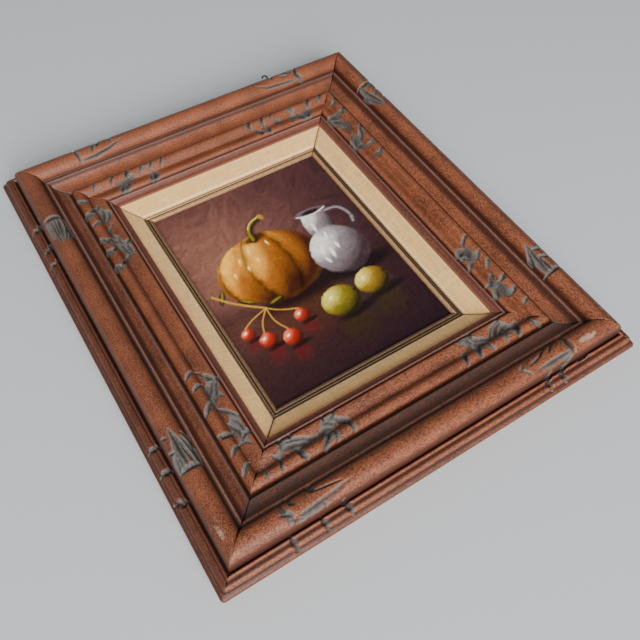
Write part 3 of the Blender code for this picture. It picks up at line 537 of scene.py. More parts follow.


# Dark bands across each rail, partly stain and partly painted shade where a step faces away from
# the light: out and reach in millimetres, and strength
STAIN_AND_SHADE_BANDS = {
    "left": ((24.0, 1.4, 0.9), (29.8, 1.4, 0.45), (32.4, 1.2, 0.7), (46.0, 4.5, 0.45),
             (56.5, 2.0, 0.25), (60.0, 1.8, 0.8), (66.0, 3.4, 0.5), (72.5, 3.4, 0.75),
             (79.0, 3.6, 0.8), (96.0, 3.0, 0.4), (101.5, 4.0, 0.85), (108.0, 5.0, 0.6),
             (113.5, 2.6, 0.8)),
    "bottom": ((24.0, 1.4, 0.9), (29.8, 1.4, 0.55), (32.4, 1.2, 0.6), (40.0, 3.0, 0.3),
               (47.0, 3.0, 0.30), (60.0, 2.0, 0.9), (70.0, 4.0, 0.5), (79.0, 3.2, 0.6),
               (100.6, 2.4, 0.8), (106.4, 2.2, 0.75), (111.6, 1.6, 0.8), (114.0, 1.6, 0.6)),
    "right": ((24.0, 1.4, 0.95), (29.8, 1.4, 0.55), (32.4, 1.2, 0.8), (60.2, 1.8, 0.9),
              (74.0, 3.0, 0.9), (79.0, 2.4, 0.8), (91.5, 2.4, 0.6), (97.5, 4.4, 0.9),
              (104.5, 2.0, 0.6), (109.5, 6.5, 0.9)),
    "top": ((24.0, 1.4, 0.9), (32.4, 1.2, 0.5), (48.5, 2.4, 0.35), (60.4, 1.6, 0.9),
            (75.5, 2.2, 0.8), (79.0, 2.0, 0.2), (91.5, 3.0, 0.4), (98.5, 4.4, 0.8),
            (107.0, 3.0, 0.75), (112.0, 2.4, 0.4)),
}


# Painted shade: each rail's stain is made lighter or darker by side, for how the light falls on it
RAIL_SHADE = {"top": 0.96, "right": 0.86, "bottom": 0.87, "left": 0.72}

# How far the carving reaches from the mitre, and how much wider the cuts of its spray are
CARVED_ZONES = {"top": 0.114, "right": 0.127, "bottom": 0.114, "left": 0.127}
SPRAY_SPREAD = {"top": 1.35, "right": 1.35, "bottom": 1.1, "left": 1.1}
# How far out the face, the bead and the half round end, in millimetres, for the cuts' depths
CUT_LIMITS = (47.0, 62.0, 100.0)
# The shape of a cut across its width: 1 is a plain V, and more is rounder
GOUGE_CROWN = 1.15
# Cuts of the spray that lie close together share one sunk ground
SUNK_GROUND, SUNK_EDGE, SUNK_REACH = 0.0007, 0.0005, 2

# Dirt in the crevice and in the channel beside it, and how much painted shade each cove's hollow
# takes, by side
CREVICE_DIRT = {"top": 0.35, "right": 0.35, "bottom": 0.95, "left": 0.95}
CHANNEL_DIRT = {"top": 0.0, "right": 0.0, "bottom": 0.62, "left": 0.12}
COVE_SHADE = {"top": 0.2, "right": 0.5, "bottom": 0.8, "left": 1.0}
# The scuff on each half round: its distance from the mitre, its strength and its end
SCUFFS = {"top": (0.018, 0.35, 1), "right": (0.018, 0.35, 1),
          "bottom": (0.030, 1.0, -1), "left": (0.018, 0.55, -1)}

# Members that the wear, the dirt, the wax and the painted shade go by, out from the sight edge
INNER_ARRIS = 0.0304
INNER_STEPS_END = 0.0345
SOFT_HOLLOW = (0.0405, 0.0515)
SOFT_HOLLOW_MIDDLE = 0.047
SOFT_HOLLOW_ROUNDS = 30
SPRAY_END = 0.062
CREVICE_LINE = 0.0618
CREVICE_TOP = 0.0260
CHANNEL = (0.0600, 0.0752)
COVE = (0.0635, 0.0750)
FILLET_ARRIS = 0.0764
FILLET_MIDDLE = 0.0765
HALF_ROUND = (0.077, 0.0995)
SCUFF_LINE = 0.093
LEDGE_CORNER = 0.1075


def carve_end(cut, strokes, depths, hand, spread):
    """Makes every cut at one end of a rail. depths hold the face, bead, half round and ledge."""
    for width, share, *places in strokes:
        path = list(zip(places[::2], places[1::2]))
        middle = path[len(path) // 2][1]
        depth = depths[sum(middle >= limit for limit in CUT_LIMITS)]
        run = (path[-1][0] - path[-1][1]) - (path[0][0] - path[0][1])
        climb = path[-1][1] - path[0][1]
        width *= hand.uniform(1.25, 1.45) * (spread if middle < CUT_LIMITS[0] else 1.0)
        cut.gouge(path, width, depth * share, -0.6 * climb / math.hypot(run, climb))


def close_gaps(mask, reach):
    """Fills the narrow gaps between marked places, up to reach steps each way."""
    for step in (np.maximum, np.minimum):
        for axis in (0, 1):
            shifted = [np.roll(mask, k, axis) for k in range(-reach, reach + 1)]
            mask = step.reduce(shifted)
    return mask


class Grid:
    """A mitred length of moulding as a grid of stations along it and points round it."""

    def __init__(self, side, section, stations, zone):
        self.side = side
        self.section = section
        self.half = SIGHT_X if side in ("top", "bottom") else SIGHT_Z
        self.span = SIGHT_Z if side in ("top", "bottom") else SIGHT_X
        ends = np.array([station[0] for station in stations])
        places = np.array([station[1] for station in stations])
        reach = self.half + section[None, :, 0] - MITRE_GAP
        self.end = ends
        self.beside_mitre = np.abs(ends)[:, None]
        self.s = np.where(ends[:, None] == 0, zone, places[:, None]) + 0.0 * reach
        self.along = np.where(ends[:, None] == 0, places[:, None] * (reach - zone),
                              ends[:, None] * (reach - places[:, None]))
        self.out = np.repeat(section[None, :, 0], len(stations), 0)
        self.off = np.repeat(section[None, :, 1], len(stations), 0)
        self.normal = outward_normals(section)

    def sink(self, depth):
        """Moves every point into the wood by its depth."""
        self.out = self.out - self.normal[None, :, 0] * depth
        self.off = self.off - self.normal[None, :, 1] * depth

    def world(self):
        """Points in the row frame."""
        turn = Matrix.Rotation(math.pi / 2 * SIDES.index(self.side), 3, "Y")
        flat = np.stack([self.along, -self.off, self.span + self.out], 2).reshape(-1, 3)
        return flat @ np.array(turn.transposed()) + np.array(CENTRE)

    def from_mitre(self, reach):
        """1 at the mitre, and falling to 0 at this distance from it."""
        return np.clip(1.0 - self.s / reach, 0.0, 1.0)

    def grain(self, shift):
        """Places along and round the length, so that the grain follows it without a stretch."""
        leg = np.hypot(*np.diff(self.section, axis=0).T)
        travel = np.concatenate(([0.0], np.cumsum(leg)))
        return np.stack([self.along, np.repeat(travel[None], len(self.end), 0),
                         np.full(self.s.shape, 0.31 * SIDES.index(self.side) + shift)], 2)

    def hollows(self, reaches):
        """Over each reach in steps, how far every point lies below its neighbours."""
        points = self.world()
        found = [lie_below(points, self.s.shape, reach) for reach in reaches]
        if np.median(found[0][:, np.argmax(self.section[:, 1])]) > 0.0:
            found = [-hollow for hollow in found]
        return found

    def build(self, name, attributes):
        """The closed mesh, with one value or vector a point for each named attribute."""
        rows, columns = self.along.shape
        index = np.arange(rows * columns).reshape(rows, columns)
        beside = np.roll(index, -1, 1)
        quads = np.stack([index[:-1], index[1:], beside[1:], beside[:-1]], 2).reshape(-1, 4)
        caps = [index[0], index[-1][::-1]]
        points = self.world()
        a, b, c = points[quads[:, 0]], points[quads[:, 1]], points[quads[:, 2]]
        if np.einsum("ij,ij->i", a, np.cross(b, c)).sum() < 0.0:
            quads = quads[:, ::-1]
            caps = [cap[::-1] for cap in caps]
        corners = np.concatenate([quads.ravel()] + caps)
        starts = np.concatenate([np.arange(len(quads)) * 4,
                                 [quads.size, quads.size + columns]])
        mesh = smooth_mesh(name, points, corners, starts)
        write_attributes(mesh, attributes)
        return add_object(name, mesh)


def write_attributes(mesh, attributes):
    """Writes vectors from arrays of three dimensions, and plain values from all others."""
    for name, values in attributes.items():
        kind, key = ("FLOAT_VECTOR", "vector") if values.ndim == 3 else ("FLOAT", "value")
        layer = mesh.attributes.new(name, kind, "POINT")
        layer.data.foreach_set(key, values.astype(np.float32).ravel())


def station_list(zone, fine, middle_count):
    """Stations as (end, s) near the two mitres and (0, share) across the plain middle."""
    near = [0.0, 0.0003, 0.0007]
    count = int(round((zone - near[-1]) / fine))
    places = near + list(np.linspace(near[-1], zone, count + 1)[1:])
    middle = np.linspace(-1.0, 1.0, middle_count + 2)[1:-1]
    return ([(-1, s) for s in places] + [(0, share) for share in middle]
            + [(1, s) for s in reversed(places)])


def lie_below(points, shape, reach):
    """How far each point lies below its neighbours, over its reach in steps, both ways."""
    grid = points.reshape(shape[0], shape[1], 3)
    ahead = np.roll(grid, -1, 1) - np.roll(grid, 1, 1)
    down = np.gradient(grid, axis=0)
    normal = np.cross(ahead, down)
    normal /= np.maximum(np.linalg.norm(normal, axis=2, keepdims=True), 1e-12)
    around = (np.roll(grid, -reach, 1) + np.roll(grid, reach, 1)) / 2 - grid
    width = np.linalg.norm(np.roll(grid, -reach, 1) - np.roll(grid, reach, 1), axis=2) / 2
    return np.einsum("ijk,ijk->ij", around, normal) / np.maximum(width, 1e-6)


def rail_section(m, c):
    """The carved moulding's section, with rubbed arrises and a soft hollow before the bead."""
    steps = {"plain": c.coarse, "carved": c.fine, "back": BACK_STEP}
    section = spaced_section(moulding_runs(m), steps)
    keep = (section[:, 1] < m.foot_edge + 0.0001) | (section[:, 0] < m.start + 0.0002)
    section = soften(section, keep)
    keep |= (section[:, 0] < SOFT_HOLLOW[0]) | (section[:, 0] > SOFT_HOLLOW[1])
    return soften(section, keep, SOFT_HOLLOW_ROUNDS)


def carved_depth(grid, m, c):
    """How deep the gouges went at every point of a rail."""
    depth = np.zeros(grid.s.shape)
    for end in (-1, 1):
        rows = grid.end == end
        hand = np.random.default_rng(SIDES.index(grid.side) * 2 + (end + 1) // 2 + HAND_SEED)
        cut = Cutting(grid.s[rows], grid.out[rows])
        carve_end(cut, CUTS[grid.side, end],
                  (c.spray_depth, c.scallop_depth, c.leaf_depth, c.notch_depth), hand,
                  SPRAY_SPREAD[grid.side])
        depth[rows] = cut.depth * (grid.off[rows] > m.foot_edge)
    sunk = close_gaps(np.clip(depth / SUNK_EDGE, 0.0, 1.0), SUNK_REACH)
    return np.maximum(depth, SUNK_GROUND * sunk * (grid.out < SPRAY_END))


def wear_rail(grid, carved, front, c, seed):
    """Sinks the carving, the uneven face, the eased mitres, the chips and the worn corners."""
    lump = smooth_noise(carved.shape, (30, 14), seed, 2)
    depth = carved + front * (0.00010 + 0.00007 * lump)
    depth += front * grid.beside_mitre * c.ease * grid.from_mitre(0.0008)
    chips = smooth_noise(carved.shape, (5, 3), seed + 3) > 0.86
    depth += 0.0003 * ((np.abs(grid.out - FILLET_MIDDLE) < 0.0012) & chips)
    grid.sink(depth)
    worn = rise(grid.out, LEDGE_CORNER, 0.004) * grid.beside_mitre
    grid.out -= worn * c.corner_round * 0.55 * grid.from_mitre(c.corner_round) ** 2


def rail_hollows(grid, carved):
    """The narrow and the broad hollows of a rail, both fainter where the face falls softly."""
    fine, broad = grid.hollows((2, 7))
    in_cove = (grid.out > COVE[0]) & (grid.out < COVE[1])
    # Painted shade in the cove: the broad hollow is scaled by side, for how the light falls on each
    # rail
    broad = broad * np.where(in_cove, COVE_SHADE[grid.side] * 0.5, 1.0)
    soft = bell(grid.out, SOFT_HOLLOW_MIDDLE, 0.0035) * (carved < 0.0002)
    return fine * (1.0 - 0.8 * soft), broad * (1.0 - 0.9 * soft)


def wax_in_cuts(grid, carved, seed):
    """Wax over the carving, partly worn off on the ledge and on the bottom's half round."""
    worn_off = smooth_noise(carved.shape, (9, 7), seed + 5, 2)
    wax = np.clip(carved / 0.00045, 0.0, 1.0)
    wax *= np.where(grid.out > HALF_ROUND[1], 0.62 + 0.25 * worn_off, 1.0)
    if grid.side == "bottom":
        on_round = (grid.out > HALF_ROUND[0]) & (grid.out < HALF_ROUND[1])
        wax *= np.where(on_round, 0.68 + 0.3 * worn_off, 1.0)
    return wax


def film_of_dirt(grid, front):
    """Grey dirt along the crevice, in the channel beside it and in the corners."""
    line = bell(grid.out, CREVICE_LINE, 0.0014) * ((grid.off < CREVICE_TOP) & front)
    channel = rise(grid.out, CHANNEL[0], 0.002) * rise(-grid.out, -CHANNEL[1], 0.002)
    corner = grid.beside_mitre * grid.from_mitre(0.014)
    film = line * CREVICE_DIRT[grid.side] + channel * (CHANNEL_DIRT[grid.side] + corner * 0.55)
    return np.clip(film, 0.0, 1.0)


def stain_and_shade_bands(grid):
    """Dark bands across a rail, of stain and of painted shade."""
    gathered = np.zeros(grid.s.shape)
    for place, reach, strength in STAIN_AND_SHADE_BANDS[grid.side]:
        gathered = np.maximum(gathered, strength * bell(grid.out, place * MM, reach * MM))
    return gathered


def scuff_on_round(grid):
    """One pale scuff on the half round."""
    place, strength, end = SCUFFS[grid.side]
    scuff = bell(grid.out, SCUFF_LINE, 0.0028) * bell(grid.s, place, 0.010)
    return scuff * (grid.end[:, None] == end) * strength


def make_rail(side, m, c):
    """One carved rail, with its hollows, wax, scuffs, grain and the masks and tone of its painted
    shade written on the mesh.
    """
    zone = CARVED_ZONES[side]
    stations = station_list(zone, c.fine * 1.12, MIDDLE_STATIONS)
    grid = Grid(side, rail_section(m, c), stations, zone)
    carved = carved_depth(grid, m, c)
    front = (grid.off > m.foot_edge) & (grid.out > m.start + 0.001)
    seed = RAIL_SEED + SIDES.index(side)
    wear_rail(grid, carved, front, c, seed)
    fine, broad = rail_hollows(grid, carved)
    # Greyed wear along the inner arris and the fillet, also a painted highlight there
    rubbed = np.maximum(bell(grid.out, INNER_ARRIS, 0.0008), bell(grid.out, FILLET_ARRIS, 0.0011))
    raw = (grid.off < 0.0004) | ((grid.out < m.rabbet + 0.0006)
                                 & (grid.off < m.lip_under + 0.0005))
    return grid.build(f"carved_rail_{side}", {
        "grain": grid.grain(0.0),
        "hollow": np.clip(fine * 2.2 + broad * 1.6, 0.0, 1.0),
        "ridge": np.clip(-fine * 3.0 - broad * 0.4, 0.0, 1.0),
        "wax": wax_in_cuts(grid, carved, seed),
        "cut": np.clip(carved / 0.0024, 0.0, 1.0),
        "film": film_of_dirt(grid, front),
        "scuff": scuff_on_round(grid),
        "gathered": stain_and_shade_bands(grid) * front,
        "rubbed": rubbed * front,
        "tone": np.full(grid.s.shape, RAIL_SHADE[side]),
        "inner": rise(-grid.out, -INNER_STEPS_END, 0.002),
        "raw": raw.astype(float),
    })


# Painted shade on the slip: how bright each length is kept by side, and how dark the right length
# is painted outside its lip
SLIP_SHADE = {"top": 1.0, "right": 1.05, "bottom": 0.36, "left": 0.44}
SLIP_OUTER_SHADE = {"top": 0.0, "right": 0.9, "bottom": 0.0, "left": 0.0}
SLIP_OUTER_SHADE_FROM = 0.0040
SEAM_WIDTH = 0.0009
# How uneven a face is, and how far its mitred ends are rubbed down
LINEN_WEAR = (0.00008, 0.0006)
SLIP_WEAR = (0.00003, 0.0003)
# How far the fine stations of a liner bar or a slip reach from the mitre
STRIP_ZONE = 0.030
# Where the slope of the linen's face ends, under the lip
LINEN_SLOPE_END = 0.0238


def slip_points(z):
    """The gilt slip's section: a rounded lip, a narrow cove and a thin bead."""
    face = z.slip_back + z.slip_face
    cove = face + z.slip_rise - z.slip_cove_depth
    points = [(0.0, z.slip_back)]
    points += arc((z.slip_lip, face), (z.slip_lip, z.slip_rise), math.pi, math.pi / 2)
    start = z.slip_lip + z.slip_cove
    points += [(z.slip_lip + z.slip_cove_depth / 2, cove), (start, cove)]
    points += arc((start + z.slip_bead / 2, cove), (z.slip_bead / 2, z.slip_bead_rise),
                  math.pi * 3 / 4, 0.0)
    return points + [(z.slip_width, cove), (z.slip_width, z.slip_back)]


def liner_points(z):
    """The liner's section, with the linen turned over its inner edge."""
    edge = z.face_edge
    points = [(z.face_start, z.back), (z.face_start, z.sight_top)]
    points += arc((z.face_start + edge, z.sight_top), (edge, edge), math.pi, math.pi * 0.68, 8)
    points += [(LINEN_SLOPE_END, z.face_top), (z.end, z.face_top), (z.end, z.back)]
    return points


def make_strip(side, name, points, steps, seed, wear):
    """A mitred strip with an uneven hand made face: a liner bar or a length of slip."""
    across, along = steps
    rough, ease = wear
    section = spaced_section([("face", points), ("face", [points[0]])], {"face": across})[:-1]
    section = soften(section, section[:, 1] < points[0][1] + 0.0001)
    half = SIGHT_X if side in ("top", "bottom") else SIGHT_Z
    count = int(2 * (half + points[-2][0] - STRIP_ZONE) / along)
    grid = Grid(side, section, station_list(STRIP_ZONE, along, count), STRIP_ZONE)
    lump = smooth_noise(grid.s.shape, (14, 9), seed, 3)
    front = grid.off > points[0][1] + 0.001
    depth = front * (rough + rough * 0.8 * lump)
    depth += front * grid.beside_mitre * ease * grid.from_mitre(ease * 2.5) ** 1.5
    grid.sink(depth)
    hollow = grid.hollows((2,))[0] * 2.5
    return grid.build(name, {
        "grain": grid.grain(2.0),
        # Painted shade: each length's tone by side, and the right slip's outer part darkened
        "tone": np.full(grid.s.shape, SLIP_SHADE[side]),
        "outer_shade": rise(grid.out, SLIP_OUTER_SHADE_FROM, 0.001) * SLIP_OUTER_SHADE[side],
        "hollow": np.clip(hollow, 0.0, 1.0),
        "ridge": np.clip(-hollow, 0.0, 1.0),
        "seam": grid.beside_mitre * grid.from_mitre(SEAM_WIDTH),
    })


# The direction that the light in the picture comes from
LIGHT_FROM = (-0.55, 0.62)
# Thickest paint, depth of the bristle marks, and what the varnish does to the tones
THICKEST, BRISTLE_DEPTH = 0.0006, 0.00004
VARNISH_POWER, VARNISH_GAIN = 1.28, 1.06


class Canvas:
    """Paint on the panel: a colour and a thickness at every point of a grid."""

    def __init__(self, x, z):
        self.x = x
        self.z = z
        self.colour = np.zeros(x.shape + (3,))
        self.thick = np.zeros(x.shape)

    def lay(self, mask, tone, thick=0.0, where=np.s_[:, :]):
        tone = np.asarray(tone, float)
        mask = np.clip(mask, 0.0, 1.0)
        cover = mask[..., None]
        self.colour[where] = self.colour[where] * (1.0 - cover) + tone * cover
        self.thick[where] = self.thick[where] * (1.0 - 0.4 * mask) + mask * thick

    def daub(self, place, size, turn, tone, thick=0.00012, strength=0.85):
        """One touch of a loaded brush, at a place and of a size in millimetres."""
        step = self.x[0, 1] - self.x[0, 0]
        reach = int(max(size) * MM / step) + 2
        column = int((place[0] * MM - self.x[0, 0]) / step)
        row = int((place[1] * MM - self.z[0, 0]) / (self.z[1, 0] - self.z[0, 0]))
        where = np.s_[max(0, row - reach):max(0, row + reach + 1),
                      max(0, column - reach):max(0, column + reach + 1)]
        dx, dz = self.x[where] - place[0] * MM, self.z[where] - place[1] * MM
        c, n = math.cos(math.radians(turn)), math.sin(math.radians(turn))
        reach = np.hypot((dx * c + dz * n) / (size[0] * MM), (dz * c - dx * n) / (size[1] * MM))
        self.lay(np.clip((1.0 - reach) * 2.0, 0.0, 1.0) * strength, tone, thick, where)

    def stem(self, path, width, tone, thick=0.00010, strength=1.0):
        """A thin line of paint along a path of places in millimetres."""
        near = np.full(self.x.shape, 1e9)
        for (x0, z0), (x1, z1) in zip(path, path[1:]):
            a = np.array([x0, z0]) * MM
            leg = np.array([x1 - x0, z1 - z0]) * MM
            t = ((self.x - a[0]) * leg[0] + (self.z - a[1]) * leg[1]) / (leg @ leg)
            t = np.clip(t, 0.0, 1.0)
            gap = np.hypot(self.x - a[0] - leg[0] * t, self.z - a[1] - leg[1] * t)
            near = np.minimum(near, gap)
        self.lay(np.clip(1.4 - near / (width * MM / 2), 0.0, 1.0) * strength, tone, thick)

    def work_over(self, count, size, strength, seed):
        """Strokes that follow the forms, each in the colour that lies under its middle."""
        dice = np.random.default_rng(seed)
        shape = self.x.shape
        below = self.colour.copy()
        light = np.log(below.sum(2) + 0.02)
        down, right = np.gradient(light)
        drift = smooth_noise(shape, (60, 50), seed + 1, 2) * 70.0 + 30.0
        around = np.degrees(np.arctan2(down, right)) + 90.0
        turns = np.where(np.hypot(down, right) > 0.035, around, drift)
        for row, column in zip(dice.integers(0, shape[0], count),
                               dice.integers(0, shape[1], count)):
            tone = below[row, column] * (1.0 + dice.normal(0.0, 0.10))
            place = (self.x[row, column] / MM, self.z[row, column] / MM)
            scale = dice.uniform(0.7, 1.3)
            # Short touches where a long one would cross the edge of a form
            turn = math.radians(turns[row, column])
            step = size[0] * scale * 0.8 * MM / (self.x[0, 1] - self.x[0, 0])
            far = [light[min(max(int(row + k * step * math.sin(turn)), 0), shape[0] - 1),
                         min(max(int(column + k * step * math.cos(turn)), 0), shape[1] - 1)]
                   for k in (-1, 1)]
            if max(abs(value - light[row, column]) for value in far) > 0.28:
                scale *= 0.3
            self.daub(place, (size[0] * scale, size[1]), turns[row, column], tone,
                      dice.uniform(0.00003, 0.00016), strength)


def blend(first, second, share):
    share = np.clip(share, 0.0, 1.0)[..., None]
    return np.asarray(first) * (1.0 - share) + np.asarray(second) * share


def curve_through(points, steps=14):
    """A smooth path through a few places."""
    ends = [points[0]] + list(points) + [points[-1]]
    path = []
    for a, b, c, d in zip(ends, ends[1:], ends[2:], ends[3:]):
        for t in np.linspace(0.0, 1.0, steps, endpoint=False):
            path.append(tuple(
                0.5 * (2 * b[k] + (c[k] - a[k]) * t + (2 * a[k] - 5 * b[k] + 4 * c[k] - d[k])
                       * t ** 2 + (3 * b[k] - a[k] - 3 * c[k] + d[k]) * t ** 3)
                for k in range(2)))
    return path + [tuple(points[-1])]


def ball(canvas, wobble, centre, radii, tones, ribs=0):
    """A lit round form. tones are its body, light and dark; ribs divide a squash."""
    cx, cz = centre[0] * MM, centre[1] * MM
    u = (canvas.x - cx) / (radii[0] * MM) + wobble * 0.02
    v = (canvas.z - cz) / (radii[1] * MM) + wobble * 0.02
    reach = np.hypot(u, v)
    soft = np.clip(0.4 - u * LIGHT_FROM[0] - v * LIGHT_FROM[1], 0.0, 1.0)
    edge = (0.9 + 4.0 * soft) / min(radii)
    mask = np.clip((1.0 - reach) / edge, 0.0, 1.0)
    depth = np.sqrt(np.clip(1.0 - reach ** 2, 0.0, 1.0))
    across = u
    shade = np.zeros(u.shape)
    if ribs:
        bow = u / np.maximum(np.sqrt(np.clip(1.0 - v ** 2 * 0.86, 0.02, 1.0)), 0.2)
        phase = np.arcsin(np.clip(bow, -1.0, 1.0)) * ribs
        rib = np.abs(np.cos(phase))
        across = u + 0.30 * np.sin(2 * phase)
        shade = (1.0 - rib) ** 3
    lit = across * LIGHT_FROM[0] + v * LIGHT_FROM[1] + depth * 0.62
    body, bright, dark = tones
    tone = blend(dark, body, (lit + 0.12) * 1.12)
    tone = blend(tone, bright, (lit - 0.66) * 2.2)
    tone = tone * (1.0 - 0.62 * shade[..., None])
    rim = np.clip((reach - 0.86) * 7.0, 0.0, 1.0) * np.clip(-lit + 0.25, 0.0, 1.0)
    tone = blend(tone, np.asarray(body) * 0.75, rim * 0.6)
    canvas.lay(mask, tone * (1.0 + wobble[..., None] * 0.10), 0.00009)


def shadow(canvas, centre, radii, tone):
    """The dark touch where a form stands on the table, drawn out to the right."""
    foot = (centre[0] + radii[0] * 0.35, centre[1] - radii[1] * 0.90)
    canvas.daub(foot, (radii[0] * 1.35, radii[1] * 0.36), 4.0, tone, 0.0, 0.75)


def reflect(canvas, wobble, centre, radii, tone, strength):
    """A dim mirror image on the polished table, under a form that stands at its foot."""
    foot = centre[1] - radii[1]
    u = (canvas.x - centre[0] * MM) / (radii[0] * MM * 0.97)
    v = (canvas.z - (foot - radii[1] * 0.92) * MM) / (radii[1] * MM)
    reach = np.hypot(u, v) + wobble * 0.05
    fade = np.clip(1.0 - (foot * MM - canvas.z) / (radii[1] * 2.2 * MM), 0.0, 1.0)
    mask = np.clip((1.0 - reach) * 5.0, 0.0, 1.0) * fade * strength
    canvas.lay(mask, tone)


def paint_ground(canvas, p, wide):
    """The plum ground with its warm glow, and the polished table."""
    x, z = canvas.x / SIGHT_X, canvas.z / SIGHT_Z
    glow = np.exp(-(((x + 0.62) / 0.80) ** 2 + ((z - 0.42) / 0.62) ** 2))
    tone = blend(p.ground, p.glow, glow + 0.14 * wide)
    dusk = np.clip((x + 0.05) * 0.50 + (0.30 - z) * 0.34 + 0.16 * wide, 0.0, 1.0)
    canvas.lay(np.ones(x.shape), blend(tone, p.dusk, dusk), 0.00006)
    canvas.work_over(900, (15.0, 3.4), 0.75, 21)
    edge = -0.06 + 0.02 * wide
    table = np.clip((edge - z) * 8.0, 0.0, 1.0)
    sheen = np.exp(-((z + 0.34) / 0.22) ** 2) * np.exp(-((x + 0.45) / 0.7) ** 2)
    top = blend(p.table, p.dusk, 0.20 + np.clip(-z - 0.40, 0.0, 1.0) * 1.0 + x * 0.30)
    canvas.lay(table * 0.92, blend(top, p.glow, sheen * 0.40))


def paint_squash(canvas, p, wobble):
    """The ribbed amber squash with its stalk."""
    centre, radii = (-20.0, 14.0), (56.0, 43.0)
    reflect(canvas, wobble, centre, (radii[0], radii[1] * 0.8), p.amber_dark, 0.8)
    shadow(canvas, centre, radii, p.shadow)
    ball(canvas, wobble, centre, radii, (p.amber, p.amber_light, p.amber_dark), ribs=4)
    canvas.daub((-18.0, 52.0), (17.0, 6.0), 4.0, p.amber_dark, strength=0.9)
    stalk = curve_through([(-18.0, 50.0), (-17.0, 61.0), (-10.0, 70.0), (1.0, 74.0)])
    canvas.stem(stalk, 8.0, p.olive_dark, 0.00015)
    canvas.stem([(x - 1.2, z + 0.9) for x, z in stalk], 3.2, p.olive, 0.00012)
    canvas.stem([(x - 1.8, z + 1.5) for x, z in stalk[18:]], 1.2, p.olive_light)
    canvas.daub((2.0, 74.0), (3.6, 5.2), 20.0, p.twig, 0.0002)


def squash_lights(canvas, p):
    """Touches of thick light paint on the squash."""
    for place, size, turn in (((-44.0, 33.0), (6.0, 2.0), 60.0), ((-30.0, 40.0), (7.0, 2.0), 80.0),
                              ((-56.0, 20.0), (5.0, 1.7), 72.0), ((-9.0, 41.0), (5.0, 1.6), 98.0),
                              ((-40.0, 22.0), (5.0, 1.5), 66.0), ((-27.0, 26.0), (5.0, 1.4), 84.0)):
        canvas.daub(place, size, turn, p.amber_light, 0.00025)
        canvas.daub((place[0] - 0.6, place[1] + 1.2), (size[0] * 0.5, 1.0), turn, p.white_light,
                    0.00025, 0.75)


def paint_jug(canvas, p, wobble):
    """A white glazed jug with a round handle, beside the squash."""
    tones = (p.white, p.white_light, p.white_dark)
    handle = curve_through([(60.0, 47.0), (78.0, 45.0), (85.0, 28.0), (76.0, 10.0)])
    canvas.stem(handle, 7.0, p.white_dark, 0.00015)
    canvas.stem([(x - 1.0, z + 0.8) for x, z in handle[:34]], 3.0, p.white, 0.00015)
    centre, radii = (50.0, -2.0), (31.0, 31.0)
    reflect(canvas, wobble, centre, radii, np.asarray(p.white_dark) * 0.9, 0.75)
    shadow(canvas, centre, radii, p.shadow)
    ball(canvas, wobble, (50.0, 36.0), (16.5, 27.0), tones)
    ball(canvas, wobble, centre, radii, tones)
    canvas.daub((50.0, 24.0), (14.0, 9.0), 0.0, p.white, strength=0.5)
    canvas.daub((50.0, 57.0), (19.0, 8.6), 0.0, p.ground, 0.0, 1.0)
    canvas.daub((49.0, 53.4), (19.0, 5.6), -3.0, p.white, strength=1.0)
    canvas.daub((50.0, 53.8), (15.6, 3.7), -3.0, p.dusk, 0.0, 1.0)
    canvas.stem(curve_through([(33.0, 53.6), (41.0, 50.6), (53.0, 49.6), (66.0, 52.6)]), 1.5,
                p.white_light, 0.00018, 0.9)


def jug_lights(canvas, p):
    """Scumbled light on the jug's glaze."""
    for place, size, turn in (((34.0, 6.0), (8.0, 3.2), 72.0), ((41.0, -2.0), (9.0, 2.6), 84.0),
                              ((32.0, -8.0), (6.0, 2.2), 106.0), ((50.0, 4.0), (6.0, 2.0), 94.0),
                              ((42.0, 34.0), (9.0, 2.2), 86.0), ((47.0, 20.0), (6.0, 1.8), 80.0)):
        canvas.daub(place, size, turn, p.white_light, 0.00028, 0.85)


# Limes as place, radii and share of yellow, and berries as place and radius, in millimetres
LIMES = (((56.0, -50.0), (19.0, 16.5), 0.28), ((17.0, -55.0), (21.5, 18.0), 0.0))
BERRY_JOINT = (-50.0, -26.0)
BERRIES = (((-65.0, -58.0), 9.6), ((-44.0, -66.0), 10.2), ((-24.0, -50.0), 8.6),
           ((-78.0, -44.0), 7.6))


def paint_limes(canvas, p, wobble):
    """Two yellow green limes in front of the jug."""
    for centre, radii, yellow in LIMES:
        body = blend(p.olive, p.amber, np.full(1, yellow))[0]
        reflect(canvas, wobble, centre, radii, np.asarray(p.olive_dark) * 1.6, 0.85)
        shadow(canvas, centre, radii, p.shadow)
        ball(canvas, wobble, centre, radii, (body, p.olive_light, p.olive_dark))
        tip = (centre[0] + radii[0] * 0.80, centre[1] + radii[1] * 0.28)
        canvas.daub(tip, (3.0, 2.0), 20.0, p.olive_dark, 0.0001)


def paint_berries(canvas, p, wobble):
    """A sprig of red berries on the table, with twigs that rise to the left."""
    for (x, z), radius in BERRIES:
        reflect(canvas, wobble, (x, z), (radius, radius), np.asarray(p.red_dark) * 2.6, 0.85)
        shadow(canvas, (x, z), (radius, radius), p.shadow)
        ball(canvas, wobble, (x, z), (radius, radius), (p.red, p.red_light, p.red_dark))
    for place, turn in (((-62.0, -12.0), 140.0), ((-80.0, 4.0), 62.0), ((-38.0, -24.0), 10.0)):
        canvas.daub(place, (10.5, 4.0), turn, p.olive_dark, 0.00012, 0.95)
        canvas.daub((place[0] + 0.5, place[1] + 1.2), (8.0, 1.7), turn, p.olive, 0.00015, 0.9)


